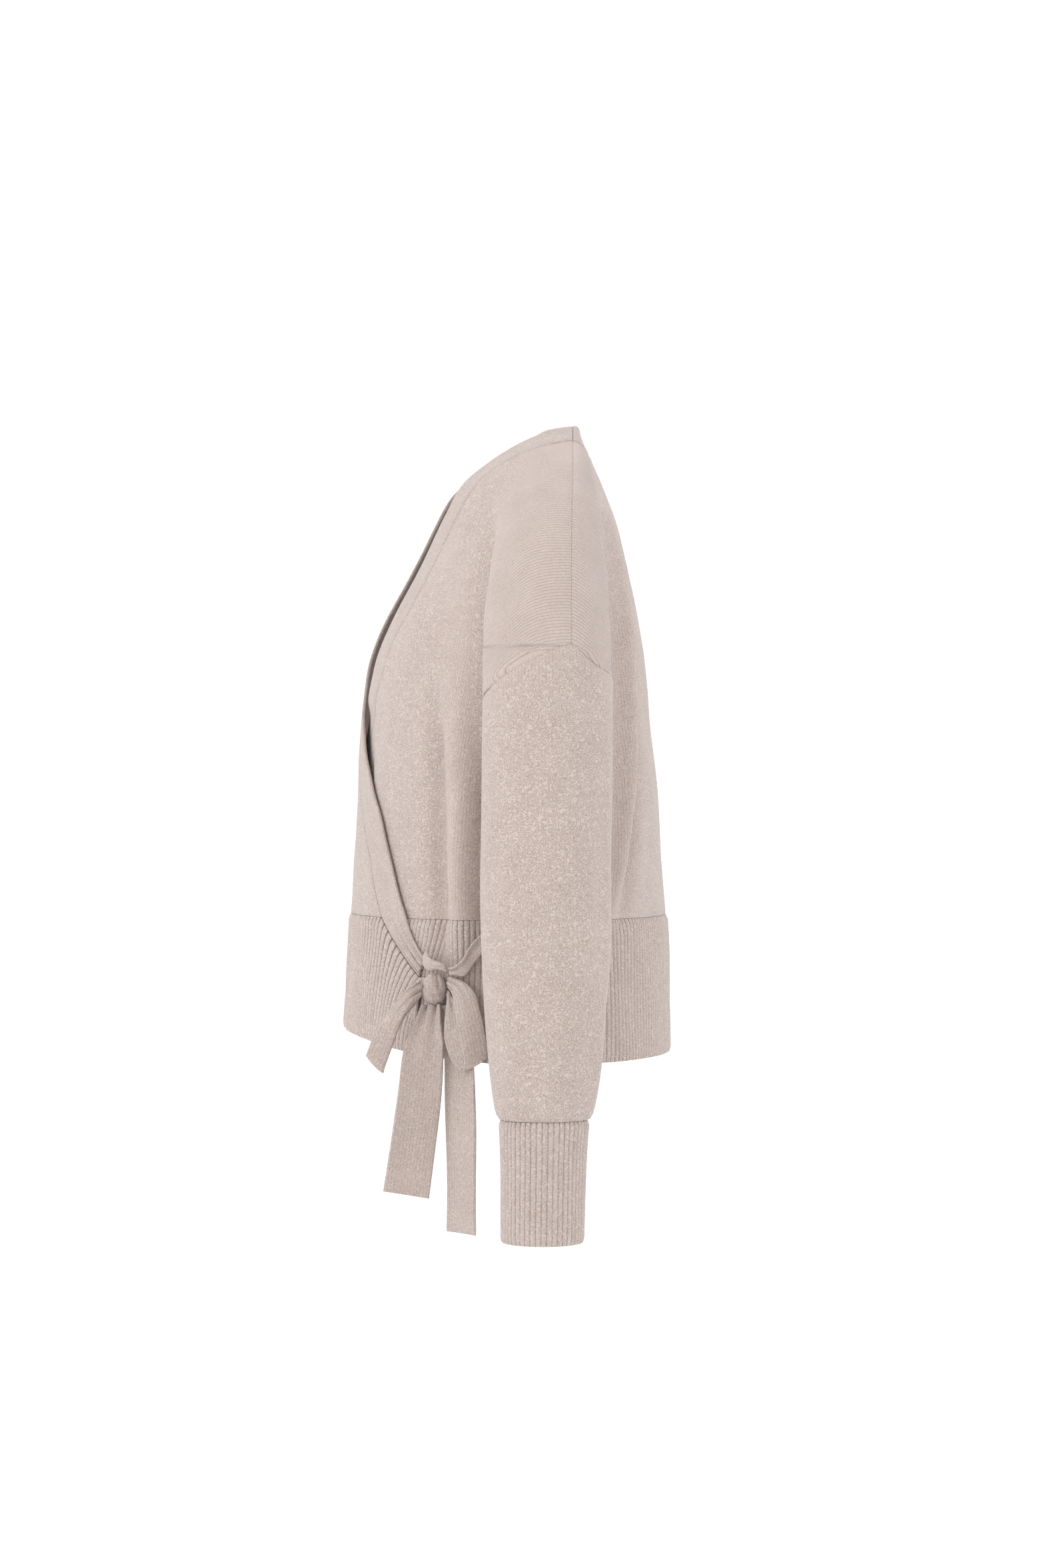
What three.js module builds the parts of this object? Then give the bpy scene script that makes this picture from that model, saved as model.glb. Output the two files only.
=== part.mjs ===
// Wrap cardigan in a fine wool knit, worn form with no wearer, tied in a bow at the left hip.
// Millimetres, +Z up. The wearer faces -Y and the wearer's left is +X. The origin lies between the
// shoulders: z = 0 is the height where the neckband meets the shoulder seam.
import * as THREE from "three";
import { mergeVertices } from "three/addons/utils/BufferGeometryUtils.js";

// Cloth
const CLOTH = 2.6; // thickness of the knitted wall
const SEAM_GAP = 0.4; // gap left between pieces that are sewn together
const SLANT_GAP = 1.6; // the same along a slanting or curved seam, measured straight down
const LAYER = 4.6; // how far the right front lies outside the left front
const RIB_RELIEF = 0.9; // height of a raised rib
const HEM_RIB_PITCH = 5.05; // width of one rib and its furrow at the hem
const CUFF_RIBS = 48; // ribs round a cuff

// Neckband and ties
const NECK_TOP = 15.5; // height of the neckline
const BAND_WIDTH = 38;
const BAND_END_WIDTH = 16.5; // the band is gathered to this where it runs into the knot
const BAND_GATHER_START = -385; // height where that gathering starts
const BAND_END = -450; // height of its free edge at the knot
const BAND_DRAWN = 0.5; // how far the band's seam is drawn down to the knot, as a share of a half turn
const BAND_DRAWN_START = -424; // height where that starts
const BACK_NECK_DROP = 17; // how far the band's seam dips at the centre back

// Heights
const UNDERARM = -243;
const SLEEVE_APEX = -184; // where the shoulder seam meets the sleeve seam
const HEM_TOP = -416; // top of the hem rib
const CUFF_TOP = -577;
const CUFF_END = -679;
const PANEL_TOP = -1.4; // last row of a front panel, beside the shoulder seam at the neck
const HEM_FRONT = -519; // lower edge of the hem at the centre front, side and centre back
const HEM_SIDE = -538;
const HEM_BACK = -537;
const RIB_END = 172; // how far past the centre the right front's rib runs, along the cloth
const UNDER_BAND_END = -390; // the left front's band ends here, hidden under the right front
const RIGHT_ARM_SWING = 50; // how much further back the right cuff hangs than the left one

// Where the shape changes from one kind to another: z and the height over which it does so
const YOKE = { z: -28, fade: 66 }; // the shoulder's plain arc turns into torso and sleeve top
const SIDE_FADE = 70; // below the underarm the panels' columns spread over the side
const CURVED_SEAM_TOP = { z: -60, fade: 50 }; // above it the band's seam curves, as it does
const CURVED_SEAM_FOOT = { z: -375, fade: 25 }; // below this one
const NECK_ROWS_START = -100; // above it the back's rows bend down towards the centre

// Where one front lies on the other: x and the length over which it does so
const LAP = { x: -170, fade: 120 }; // the right front lifts off from here towards its free edge
const LAP_RISE = { z: -60, fade: 140 };
// Where the fronts cross, the left one dips in by this depth
const CROSSING = { depth: 3, x: [-40, 62], fadeX: [40, 16], z: [-320, -222], fadeZ: [25, 20] };
const SLEEVE_CLEARANCE = 1.2; // gap kept between a sleeve and the torso
const FOLD_X = [120, 215]; // folds lie between these distances from the centre
const UNDER_RIB_START = 120; // the left front's hem is plain up to here, hidden under the right front

// Detail of the meshes
const OUTLINE_STEPS = 120;
const PANEL_ROWS_BODY = 8;
const PANEL_ROWS_SHOULDER = 8;
const FRONT_COLUMNS = 26;
const BACK_COLUMNS = 36;
const SLEEVE_COLUMNS = 18;
const SLEEVE_ROWS = 9;
const RIB_ROWS = 2;
const RIB_SKIP = 4; // outer columns of a ribbed wall for each plain inner one

// Body sections. z: height; front, back: y at the centre; half: half-width of the torso alone;
// mid: y of its widest place; shoulder: x of the shoulder line where the section ends over the arm.
const BODY = [
  { z: 16, front: -60, back: 5, half: 76, mid: -11, shoulder: 78 },
  { z: 8, front: -65, back: 6.5, half: 90, mid: -10, shoulder: 94 },
  { z: 0, front: -72, back: 9, half: 106, mid: -9, shoulder: 112 },
  { z: -18, front: -91, back: 16, half: 142, mid: -12, shoulder: 152 },
  { z: -36, front: -109, back: 23.5, half: 168, mid: -16, shoulder: 184 },
  { z: -64, front: -122.5, back: 35, half: 189, mid: -24, shoulder: 224 },
  { z: -94, front: -135.5, back: 44.5, half: 198, mid: -32, shoulder: 250 },
  { z: -127, front: -150, back: 53.5, half: 202, mid: -39, shoulder: 269 },
  { z: -162, front: -167, back: 60, half: 204, mid: -45, shoulder: 283 },
  { z: -187, front: -175.5, back: 64, half: 205, mid: -48, shoulder: 291 },
  { z: -215, front: -180.5, back: 67.5, half: 205.5, mid: -49.5, shoulder: 298 },
  { z: -254, front: -184, back: 71, half: 206, mid: -50, shoulder: 306 },
  { z: -308, front: -186.5, back: 76.5, half: 206, mid: -50, shoulder: 306 },
  { z: -381, front: -190.5, back: 81.5, half: 207, mid: -50, shoulder: 306 },
  { z: -443, front: -193.5, back: 85, half: 208, mid: -50, shoulder: 306 },
  { z: -530, front: -198.5, back: 87, half: 212, mid: -50, shoulder: 306 },
  { z: -545, front: -199, back: 87, half: 212, mid: -50, shoulder: 306 },
];

// Arm and sleeve sections. x, y: centre; halfX, halfY: half-widths.
const ARM = [
  { z: 16, x: 38, y: -15, halfX: 40, halfY: 25 },
  { z: 0, x: 68, y: -22, halfX: 44, halfY: 31 },
  { z: -36, x: 138, y: -31, halfX: 46, halfY: 38 },
  { z: -64, x: 176, y: -36, halfX: 48, halfY: 42 },
  { z: -94, x: 202, y: -39, halfX: 48, halfY: 46 },
  { z: -127, x: 220, y: -41, halfX: 49, halfY: 50 },
  { z: -162, x: 233.5, y: -43, halfX: 49.5, halfY: 53 },
  { z: -187, x: 241, y: -43.5, halfX: 49.5, halfY: 54 },
  { z: -215, x: 248.5, y: -44, halfX: 49.5, halfY: 54.5 },
  { z: -243, x: 255.7, y: -45, halfX: 49.7, halfY: 54.5 },
  { z: -308, x: 270, y: -46.5, halfX: 50.5, halfY: 54.5 },
  { z: -381, x: 280, y: -47.5, halfX: 50.5, halfY: 54.5 },
  { z: -443, x: 285, y: -48, halfX: 49, halfY: 53.5 },
  { z: -495, x: 287, y: -49.5, halfX: 46.5, halfY: 49.5 },
  { z: -535, x: 288, y: -50, halfX: 43.5, halfY: 46 },
  { z: -565, x: 288.5, y: -50.5, halfX: 40.5, halfY: 42 },
  { z: -577.5, x: 288.5, y: -50.5, halfX: 38, halfY: 38 },
];

// Cuff sections
const CUFF = [
  { z: -577, x: 288.5, y: -50.5, halfX: 36.4, halfY: 36 },
  { z: -611, x: 288.5, y: -51, halfX: 36, halfY: 34.4 },
  { z: -679, x: 288.5, y: -52, halfX: 36.4, halfY: 33.6 },
];

// Sleeve seam: its height at each angle round the arm, 0 degrees outwards, -90 to the front
const SLEEVE_SEAM = [
  { angle: -180, z: -243 },
  { angle: -140, z: -237 },
  { angle: -105, z: -229 },
  { angle: -72, z: -221 },
  { angle: -45, z: -209.5 },
  { angle: -15, z: -195 },
  { angle: 16.7, z: -184 },
  { angle: 36, z: -196 },
  { angle: 52, z: -203.5 },
  { angle: 75, z: -209 },
  { angle: 110, z: -219 },
  { angle: 145, z: -232 },
  { angle: 180, z: -243 },
];

// Free edge of a front, from the neck to the far hip. x is positive on the front's own side.
const FRONT_EDGE = [
  { z: 15.5, x: 78 },
  { z: 8, x: 79 },
  { z: 0, x: 78 },
  { z: -14, x: 74.5 },
  { z: -36, x: 70 },
  { z: -64, x: 63 },
  { z: -94, x: 55 },
  { z: -127, x: 46 },
  { z: -162, x: 35 },
  { z: -187, x: 25 },
  { z: -207, x: 13 },
  { z: -225, x: 0 },
  { z: -251, x: -20 },
  { z: -285, x: -52 },
  { z: -322, x: -88 },
  { z: -346, x: -105 },
  { z: -381, x: -125 },
  { z: -408, x: -139 },
  { z: -427, x: -148 },
  { z: -443, x: -158 },
  { z: -450, x: -163 },
];

// Folds of the body: a crest along a line on the front or back. y: where the crest lies;
// rise: height, negative for a trough; width: half-breadth of the fold.
const FOLDS = [
  {
    name: "ridge before the sleeve",
    back: false,
    line: [
      { z: -190, y: -112, rise: 0, width: 10 },
      { z: -235, y: -110, rise: 6, width: 10 },
      { z: -320, y: -108, rise: 12.5, width: 9.5 },
      { z: -400, y: -108, rise: 12, width: 8.5 },
      { z: -440, y: -110, rise: 6, width: 8 },
      { z: -475, y: -111, rise: 0, width: 8 },
    ],
  },
  {
    name: "valley in front of the ridge",
    back: false,
    line: [
      { z: -215, y: -134, rise: 0, width: 9 },
      { z: -260, y: -131, rise: -3.5, width: 9 },
      { z: -420, y: -128, rise: -5, width: 8 },
      { z: -470, y: -128, rise: 0, width: 7 },
    ],
  },
  {
    name: "recess behind the ridge",
    back: false,
    line: [
      { z: -245, y: -88, rise: 0, width: 10 },
      { z: -285, y: -90, rise: -6, width: 11 },
      { z: -430, y: -92, rise: -6, width: 11 },
      { z: -480, y: -92, rise: 0, width: 11 },
    ],
  },
  {
    name: "fold behind the arm",
    back: true,
    line: [
      { z: -55, y: 4, rise: 0, width: 6 },
      { z: -83, y: 20.5, rise: 5, width: 6 },
      { z: -126, y: 31, rise: 10, width: 6.5 },
      { z: -199, y: 38, rise: 12, width: 6.5 },
      { z: -250, y: 39.5, rise: 12, width: 6.5 },
      { z: -299, y: 37, rise: 12, width: 7 },
      { z: -368, y: 28, rise: 8, width: 7 },
      { z: -420, y: 18, rise: 0, width: 7 },
    ],
  },
  {
    name: "valley behind that fold",
    back: true,
    line: [
      { z: -70, y: 24, rise: 0, width: 7 },
      { z: -126, y: 43, rise: -6, width: 7 },
      { z: -199, y: 50, rise: -9, width: 7 },
      { z: -299, y: 49, rise: -9, width: 7 },
      { z: -368, y: 41, rise: -5, width: 8 },
      { z: -420, y: 34, rise: 0, width: 8 },
    ],
  },
];

// Numbers along a table, with a smooth curve through its rows
function along(table, key, at, value) {
  const rising = table[1][key] > table[0][key];
  const rows = rising ? table : [...table].reverse();
  const last = rows.length - 1;
  if (at <= rows[0][key]) return rows[0][value];
  if (at >= rows[last][key]) return rows[last][value];
  let i = 0;
  while (at > rows[i + 1][key]) i += 1;
  const before = rows[Math.max(i - 1, 0)];
  const a = rows[i];
  const b = rows[i + 1];
  const after = rows[Math.min(i + 2, last)];
  const span = b[key] - a[key];
  const t = (at - a[key]) / span;
  const slopeA = i > 0 ? (b[value] - before[value]) / (b[key] - before[key]) : (b[value] - a[value]) / span;
  const slopeB = i + 1 < last ? (after[value] - a[value]) / (after[key] - a[key]) : (b[value] - a[value]) / span;
  const t2 = t * t;
  const t3 = t2 * t;
  const ends = a[value] * (2 * t3 - 3 * t2 + 1) + b[value] * (3 * t2 - 2 * t3);
  return ends + span * (slopeA * (t3 - 2 * t2 + t) + slopeB * (t3 - t2));
}

function mix(a, b, t) {
  return a + (b - a) * t;
}

function smooth(t) {
  const c = Math.min(Math.max(t, 0), 1);
  return c * c * (3 - 2 * c);
}

// The sleeve's columns start at the apex of its seam, so that one of them runs down from there
const APEX_ANGLE = SLEEVE_SEAM.find((row) => row.z === SLEEVE_APEX).angle;
const SLEEVE_STEP = 360 / SLEEVE_COLUMNS;
const seamHeight = (angle) => along(SLEEVE_SEAM, "angle", angle, "z");

const bodyAt = (z, value) => along(BODY, "z", z, value);
const armAt = (z, value) => along(ARM, "z", z, value);

function armPoint(angle, z) {
  const x = armAt(z, "x") + armAt(z, "halfX") * Math.cos(angle);
  const y = armAt(z, "y") + armAt(z, "halfY") * Math.sin(angle);
  return [x, y];
}

// y of the shoulder seam, which drifts forwards as it goes out over the arm
function shoulderSeamY(z) {
  return -8.6 - 0.105 * (bodyAt(z, "shoulder") - 112);
}

// Angle round the arm at which a front or back panel ends at this height
function panelEndAngle(z, back) {
  if (z >= SLEEVE_APEX) {
    return Math.asin((shoulderSeamY(z) - armAt(z, "y")) / armAt(z, "halfY"));
  }
  let high = APEX_ANGLE;
  let low = back ? 180 : -180;
  for (let i = 0; i < 24; i += 1) {
    const middle = (high + low) / 2;
    if (seamHeight(middle) > z) high = middle;
    else low = middle;
  }
  return THREE.MathUtils.degToRad(high);
}

// Evenly spaced points along a line of [x, y] points
function evenly(points, steps) {
  const runs = [0];
  for (let i = 1; i < points.length; i += 1) {
    const dx = points[i][0] - points[i - 1][0];
    const dy = points[i][1] - points[i - 1][1];
    runs.push(runs[i - 1] + Math.hypot(dx, dy));
  }
  const total = runs[runs.length - 1];
  const even = [];
  let k = 0;
  for (let i = 0; i <= steps; i += 1) {
    const run = (total * i) / steps;
    while (k < runs.length - 2 && runs[k + 1] < run) k += 1;
    const t = (run - runs[k]) / Math.max(runs[k + 1] - runs[k], 1e-9);
    even.push([mix(points[k][0], points[k + 1][0], t), mix(points[k][1], points[k + 1][1], t)]);
  }
  return { points: even, total };
}

function oval(half, mid, depth, steps) {
  const points = [];
  for (let i = 0; i <= steps; i += 1) {
    const angle = (Math.PI / 2) * (1 - i / steps);
    points.push([half * Math.cos(angle), mid + depth * Math.sin(angle)]);
  }
  return points;
}

// Torso oval from the centre to the groove beside the arm, then over the arm to the panel's end
function torsoAndArm(z, back) {
  const mid = bodyAt(z, "mid");
  const depth = bodyAt(z, back ? "back" : "front") - mid;
  const torso = oval(bodyAt(z, "half"), mid, depth, OUTLINE_STEPS);
  if (z <= UNDERARM) return { points: torso, groove: null, share: 1 };
  const armX = armAt(z, "x");
  const armY = armAt(z, "y");
  const halfX = armAt(z, "halfX");
  const halfY = armAt(z, "halfY");
  const inArm = ([x, y]) => ((x - armX) / halfX) ** 2 + ((y - armY) / halfY) ** 2 < 1;
  const meets = torso.findIndex(inArm);
  const points = meets < 0 ? torso : torso.slice(0, meets);
  const [grooveX, grooveY] = points[points.length - 1];
  const turn = back ? 1 : -1;
  const start = Math.atan2((grooveY - armY) / halfY, (grooveX - armX) / halfX);
  const from = start * turn < 0 ? start + 2 * Math.PI * turn : start;
  const to = panelEndAngle(z, back);
  const torsoLength = evenly(points, 1).total;
  for (let i = 1; i <= OUTLINE_STEPS; i += 1) {
    points.push(armPoint(mix(from, to, i / OUTLINE_STEPS), z));
  }
  return { points, groove: [grooveX, grooveY], share: torsoLength / evenly(points, 1).total };
}

// The groove is rounded, most of all where it fades out up the shoulder
function softenGroove(points, groove) {
  if (!groove) return points;
  let line = points;
  for (let pass = 0; pass < 10; pass += 1) {
    line = line.map((point, i) => {
      if (i === 0 || i === line.length - 1) return point;
      const away = Math.hypot(point[0] - groove[0], point[1] - groove[1]);
      const amount = 0.5 * Math.exp(-((away / 15) ** 2));
      return [0, 1].map((k) => mix(point[k], (line[i - 1][k] + line[i + 1][k]) / 2, amount));
    });
  }
  return line;
}

function foldRise(y, z, back) {
  let rise = 0;
  for (const fold of FOLDS) {
    const ends = [fold.line[0].z, fold.line[fold.line.length - 1].z];
    if (fold.back !== back || z > ends[0] || z < ends[1]) continue;
    const away = (y - along(fold.line, "z", z, "y")) / along(fold.line, "z", z, "width");
    rise += along(fold.line, "z", z, "rise") * Math.exp(-away * away);
  }
  return rise;
}

function withFolds(points, z, back) {
  const side = back ? 1 : -1;
  return points.map((point, i) => {
    const a = points[Math.max(i - 1, 0)];
    const b = points[Math.min(i + 1, points.length - 1)];
    const dx = b[0] - a[0];
    const dy = b[1] - a[1];
    const length = Math.hypot(dx, dy);
    const rise = point[0] > FOLD_X[0] && point[0] < FOLD_X[1] ? foldRise(point[1], z, back) : 0;
    return [point[0] - (side * dy * rise) / length, point[1] + (side * dx * rise) / length];
  });
}

// Half outline of the body at one height, from the centre to the edge of the panel
const outlines = new Map();
function outline(z, back) {
  const key = `${z.toFixed(3)} ${back}`;
  if (!outlines.has(key)) {
    const joined = torsoAndArm(z, back);
    const body = softenGroove(evenly(joined.points, OUTLINE_STEPS).points, joined.groove);
    const seamY = shoulderSeamY(z);
    const depth = bodyAt(z, back ? "back" : "front") - seamY;
    const yoke = evenly(oval(bodyAt(z, "shoulder"), seamY, depth, OUTLINE_STEPS), OUTLINE_STEPS).points;
    const share = smooth((YOKE.z - z) / YOKE.fade);
    const points = body.map((point, i) => [0, 1].map((k) => mix(yoke[i][k], point[k], share)));
    outlines.set(key, { ...evenly(withFolds(points, z, back), OUTLINE_STEPS), groove: joined.share });
  }
  return outlines.get(key);
}

// Arc length from the centre to the edge of the panel at this height
const reach = (z, back) => outline(z, back).total;

// Point on the body's surface: arc is measured along the cloth from the centre, + to the left
function bodyPoint(arc, z, back) {
  const { points, total } = outline(z, back);
  const place = (Math.abs(arc) / total) * OUTLINE_STEPS;
  const i = Math.min(Math.floor(place), OUTLINE_STEPS - 1);
  const t = place - i;
  const x = mix(points[i][0], points[i + 1][0], t);
  const y = mix(points[i][1], points[i + 1][1], t);
  return new THREE.Vector3(arc < 0 ? -x : x, y, z);
}

// Outward normal of the body's surface
function bodyNormal(arc, z, back) {
  const step = 3;
  const share = arc / reach(z, back);
  const across = bodyPoint(arc + step, z, back).sub(bodyPoint(arc - step, z, back));
  const high = bodyPoint(share * reach(z + step, back), z + step, back);
  const low = bodyPoint(share * reach(z - step, back), z - step, back);
  const normal = across.cross(high.sub(low)).normalize();
  return back ? normal.negate() : normal;
}

// Arc length at which the front's surface reaches this x
function arcAtX(x, z) {
  const { points, total } = outline(z, false);
  const size = Math.abs(x);
  let i = 0;
  while (i < OUTLINE_STEPS - 1 && points[i + 1][0] < size) i += 1;
  const t = (size - points[i][0]) / (points[i + 1][0] - points[i][0]);
  return (Math.sign(x) * total * (i + Math.min(t, 1))) / OUTLINE_STEPS;
}

// Walks over the front's surface from one place, square to the front's edge
function walk(arc, z, direction, distance) {
  const steps = 6;
  let place = [arc, z];
  for (let i = 0; i < steps; i += 1) {
    const [a, h] = place;
    const alongArc = bodyPoint(a + 1, h, false).sub(bodyPoint(a - 1, h, false)).divideScalar(2);
    const alongZ = bodyPoint(a, h + 1, false).sub(bodyPoint(a, h - 1, false)).divideScalar(2);
    const aa = alongArc.dot(alongArc);
    const zz = alongZ.dot(alongZ);
    const az = alongArc.dot(alongZ);
    const bA = alongArc.dot(direction);
    const bZ = alongZ.dot(direction);
    const det = aa * zz - az * az;
    const dA = (bA * zz - bZ * az) / det;
    const dZ = (bZ * aa - bA * az) / det;
    const moved = alongArc.multiplyScalar(dA).add(alongZ.multiplyScalar(dZ)).length();
    const scale = distance / steps / moved;
    place = [a + dA * scale, h + dZ * scale];
  }
  return place;
}

// The band lies between the front's free edge and a seam that runs a band's width inside it
function bandWidthAt(z) {
  const gather = smooth((BAND_GATHER_START - z) / (BAND_GATHER_START - BAND_END));
  return mix(BAND_WIDTH, BAND_END_WIDTH, gather);
}

function bandCrossing(z, share) {
  const edge = (h) => bodyPoint(arcAtX(along(FRONT_EDGE, "z", h, "x"), h), h, false);
  const arc = arcAtX(along(FRONT_EDGE, "z", z, "x"), z);
  if (share === 0) return [arc, z];
  const tangent = edge(z - 2).sub(edge(z + 2)).normalize();
  const inwards = tangent.clone().cross(bodyNormal(arc, z, false)).negate();
  const drawn = BAND_DRAWN * smooth((BAND_DRAWN_START - z) / (BAND_DRAWN_START - BAND_END));
  const direction = inwards.multiplyScalar(1 - drawn).addScaledVector(tangent, drawn);
  return walk(arc, z, direction, bandWidthAt(z) * share);
}

const BAND_STATIONS = [12, 7, 0, -10, -22, -36, -52, -70, -90, -112, -136, -160, -182, -202, -220, -238, -256,
  -276, -298, -322, -346, -370, -394, -412, -427, -439, -450];

const bandSeam = [{ z: 0, arc: reach(0, false) }];
for (const z of BAND_STATIONS) {
  const [arc, height] = bandCrossing(z, 1);
  if (height < bandSeam[bandSeam.length - 1].z - 2) bandSeam.push({ z: height, arc });
}
const seamArc = (z) => along(bandSeam, "z", z, "arc");
const seamLow = bandSeam[bandSeam.length - 1];

// How far a front lies off the body's surface, so that the right one passes over the left one
function layerOffset(side, x, z) {
  const over = smooth((x - LAP.x) / LAP.fade);
  if (side < 0) return LAYER * over * smooth((LAP_RISE.z - z) / LAP_RISE.fade);
  const inside = (at, ends, fades) => smooth((at - ends[0]) / fades[0]) * smooth((ends[1] - at) / fades[1]);
  const dip = inside(x, CROSSING.x, CROSSING.fadeX) * inside(z, CROSSING.z, CROSSING.fadeZ);
  return -LAYER * (1 - over) - CROSSING.depth * dip;
}

// Point of a front, in arcs measured on its own side; depth is how far inside the outer face
function frontPoint(side, arc, z, depth) {
  const point = bodyPoint(arc, z, false);
  const normal = bodyNormal(arc, z, false);
  const offset = layerOffset(side, point.x * side, z) - depth;
  point.addScaledVector(normal, offset);
  point.x *= side;
  return point;
}

function backPoint(arc, z, depth) {
  return bodyPoint(arc, z, true).addScaledVector(bodyNormal(arc, z, true), -depth);
}

// Closed wall from a grid of outer points and a grid of inner points. With a skip, there are that
// many outer columns for each inner one. A ring closes on itself; other walls get side rims.
function wall(outer, inner, ring, skip = 1) {
  const positions = [];
  const triangles = [];
  const place = (grid) => grid.map((row) => row.map((point) => {
    positions.push(point.x, point.y, point.z);
    return positions.length / 3 - 1;
  }));
  const out = place(outer);
  const inn = place(inner);
  const rows = out.length;
  const quad = (a, b, c, d) => triangles.push(a, b, c, a, c, d);
  const columnsOf = (row) => (ring ? row.length : row.length - 1);
  const at = (row, i) => row[i % row.length];
  for (let r = 0; r + 1 < rows; r += 1) {
    for (let i = 0; i < columnsOf(out[r]); i += 1) {
      quad(at(out[r], i), at(out[r], i + 1), at(out[r + 1], i + 1), at(out[r + 1], i));
    }
    for (let i = 0; i < columnsOf(inn[r]); i += 1) {
      quad(at(inn[r], i), at(inn[r + 1], i), at(inn[r + 1], i + 1), at(inn[r], i + 1));
    }
  }
  const rim = (o, n, flip) => {
    const add = (a, b, c) => (flip ? triangles.push(a, c, b) : triangles.push(a, b, c));
    for (let i = 0; i < columnsOf(n); i += 1) {
      for (let k = 0; k < skip; k += 1) add(at(n, i), at(o, i * skip + k + 1), at(o, i * skip + k));
      add(at(n, i), at(n, i + 1), at(o, (i + 1) * skip));
    }
  };
  rim(out[0], inn[0], false);
  rim(out[rows - 1], inn[rows - 1], true);
  if (!ring) {
    for (let r = 0; r + 1 < rows; r += 1) {
      quad(out[r][0], out[r + 1][0], inn[r + 1][0], inn[r][0]);
      const [a, b] = [out[r].length - 1, inn[r].length - 1];
      quad(out[r][a], inn[r][b], inn[r + 1][b], out[r + 1][a]);
    }
  }
  return solid(positions, triangles);
}

// Geometry with its faces turned outwards
function solid(positions, triangles) {
  let volume = 0;
  const corner = (i) => new THREE.Vector3(...positions.slice(3 * i, 3 * i + 3));
  for (let i = 0; i < triangles.length; i += 3) {
    const [a, b, c] = [0, 1, 2].map((k) => corner(triangles[i + k]));
    volume += a.dot(b.cross(c)) / 6;
  }
  if (volume < 0) {
    for (let i = 0; i < triangles.length; i += 3) {
      [triangles[i + 1], triangles[i + 2]] = [triangles[i + 2], triangles[i + 1]];
    }
  }
  const geometry = new THREE.BufferGeometry();
  geometry.setAttribute("position", new THREE.Float32BufferAttribute(positions, 3));
  geometry.setIndex(triangles);
  geometry.computeVertexNormals();
  return geometry;
}

// Wall from a function of (row, column, depth)
function sheet(rows, columns, pointAt, ring = false) {
  const grid = (depth) => rows.map((row) => columns.map((column) => pointAt(row, column, depth)));
  return wall(grid(0), grid(CLOTH), ring);
}

// Evenly spaced values from a to b, with the last one left out for a ring
function steps(a, b, count, ring = false) {
  return Array.from({ length: ring ? count : count + 1 }, (_, i) => mix(a, b, i / count));
}

// Heights of a panel's rows at its outer edge. Beside the sleeve they meet its columns.
function panelRows(back) {
  const columnsPassed = back ? [5, 3, 2, 1] : [7, 5, 4, 3, 2, 1];
  const turn = back ? 1 : -1;
  return [
    ...steps(HEM_TOP + SEAM_GAP / 2, UNDERARM, PANEL_ROWS_BODY),
    ...columnsPassed.map((n) => seamHeight(APEX_ANGLE + turn * n * SLEEVE_STEP)),
    ...steps(1, 0, PANEL_ROWS_SHOULDER).map((t) => mix(PANEL_TOP, SLEEVE_APEX, t ** 1.7)),
  ];
}

// Arc length of the groove beside the arm. Below the underarm the same columns spread out again
// over the side of the torso, where the folds are.
function grooveArc(z, back) {
  const { total, groove } = outline(z, back);
  const furthest = 0.985;
  const side = mix(furthest, 0.7, smooth((UNDERARM - z) / SIDE_FADE));
  return total * (z > UNDERARM ? Math.min(groove, furthest) : side);
}

// Arc length of a column: some lie between the panel's inner edge and the groove, the rest past it
function columnArc(t, inner, z, back) {
  const grooveColumn = 0.58;
  const groove = Math.max(grooveArc(z, back), mix(inner, reach(z, back), grooveColumn));
  if (t < grooveColumn) return mix(inner, groove, t / grooveColumn);
  return mix(groove, reach(z, back) - SEAM_GAP / 2, (t - grooveColumn) / (1 - grooveColumn));
}

function frontPanel(side) {
  return sheet(panelRows(false), steps(0, 1, FRONT_COLUMNS), (z, t, depth) => {
    const top = smooth((z - CURVED_SEAM_TOP.z) / CURVED_SEAM_TOP.fade);
    const foot = smooth((CURVED_SEAM_FOOT.z - z) / CURVED_SEAM_FOOT.fade);
    const gap = mix(SEAM_GAP / 2, SLANT_GAP, Math.max(top, foot));
    return frontPoint(side, columnArc(t, seamArc(z) + gap, z, false), z, depth);
  });
}

// At the back the rows bend down towards the centre to follow the neckband
function backRowHeight(z, share) {
  if (z < NECK_ROWS_START) return z;
  const lifted = (z - NECK_ROWS_START) / (PANEL_TOP - NECK_ROWS_START);
  return z - (BACK_NECK_DROP + PANEL_TOP + SEAM_GAP) * lifted * (1 - share * share);
}

function backPanel() {
  return sheet(panelRows(true), steps(-1, 1, BACK_COLUMNS), (z, t, depth) => {
    const height = backRowHeight(z, columnArc(Math.abs(t), 0, z, true) / reach(z, true));
    return backPoint(Math.sign(t) * columnArc(Math.abs(t), 0, height, true), height, depth);
  });
}

function frontBand(side) {
  const across = [0, 0.5, 1];
  const inset = SEAM_GAP / 2 / BAND_WIDTH;
  const stations = BAND_STATIONS.filter((z) => side < 0 || z > UNDER_BAND_END);
  const rows = [null, ...stations];
  return sheet(rows, across, (z, t, depth) => {
    const share = Math.min(t, 1 - inset);
    if (z === null) {
      const height = mix(NECK_TOP, 0, share);
      return frontPoint(side, reach(height, false) - SLANT_GAP, height, depth);
    }
    const [arc, height] = bandCrossing(z, share);
    return frontPoint(side, arc, height, depth);
  });
}

function backNeckBand() {
  return sheet([0, 0.5, 1], steps(-1, 1, 20), (t, share, depth) => {
    const seam = -BACK_NECK_DROP * (1 - share * share) + SEAM_GAP / 2;
    const height = mix(NECK_TOP, seam, t);
    return backPoint(share * (reach(height, true) - SEAM_GAP / 2), height, depth);
  });
}

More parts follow.
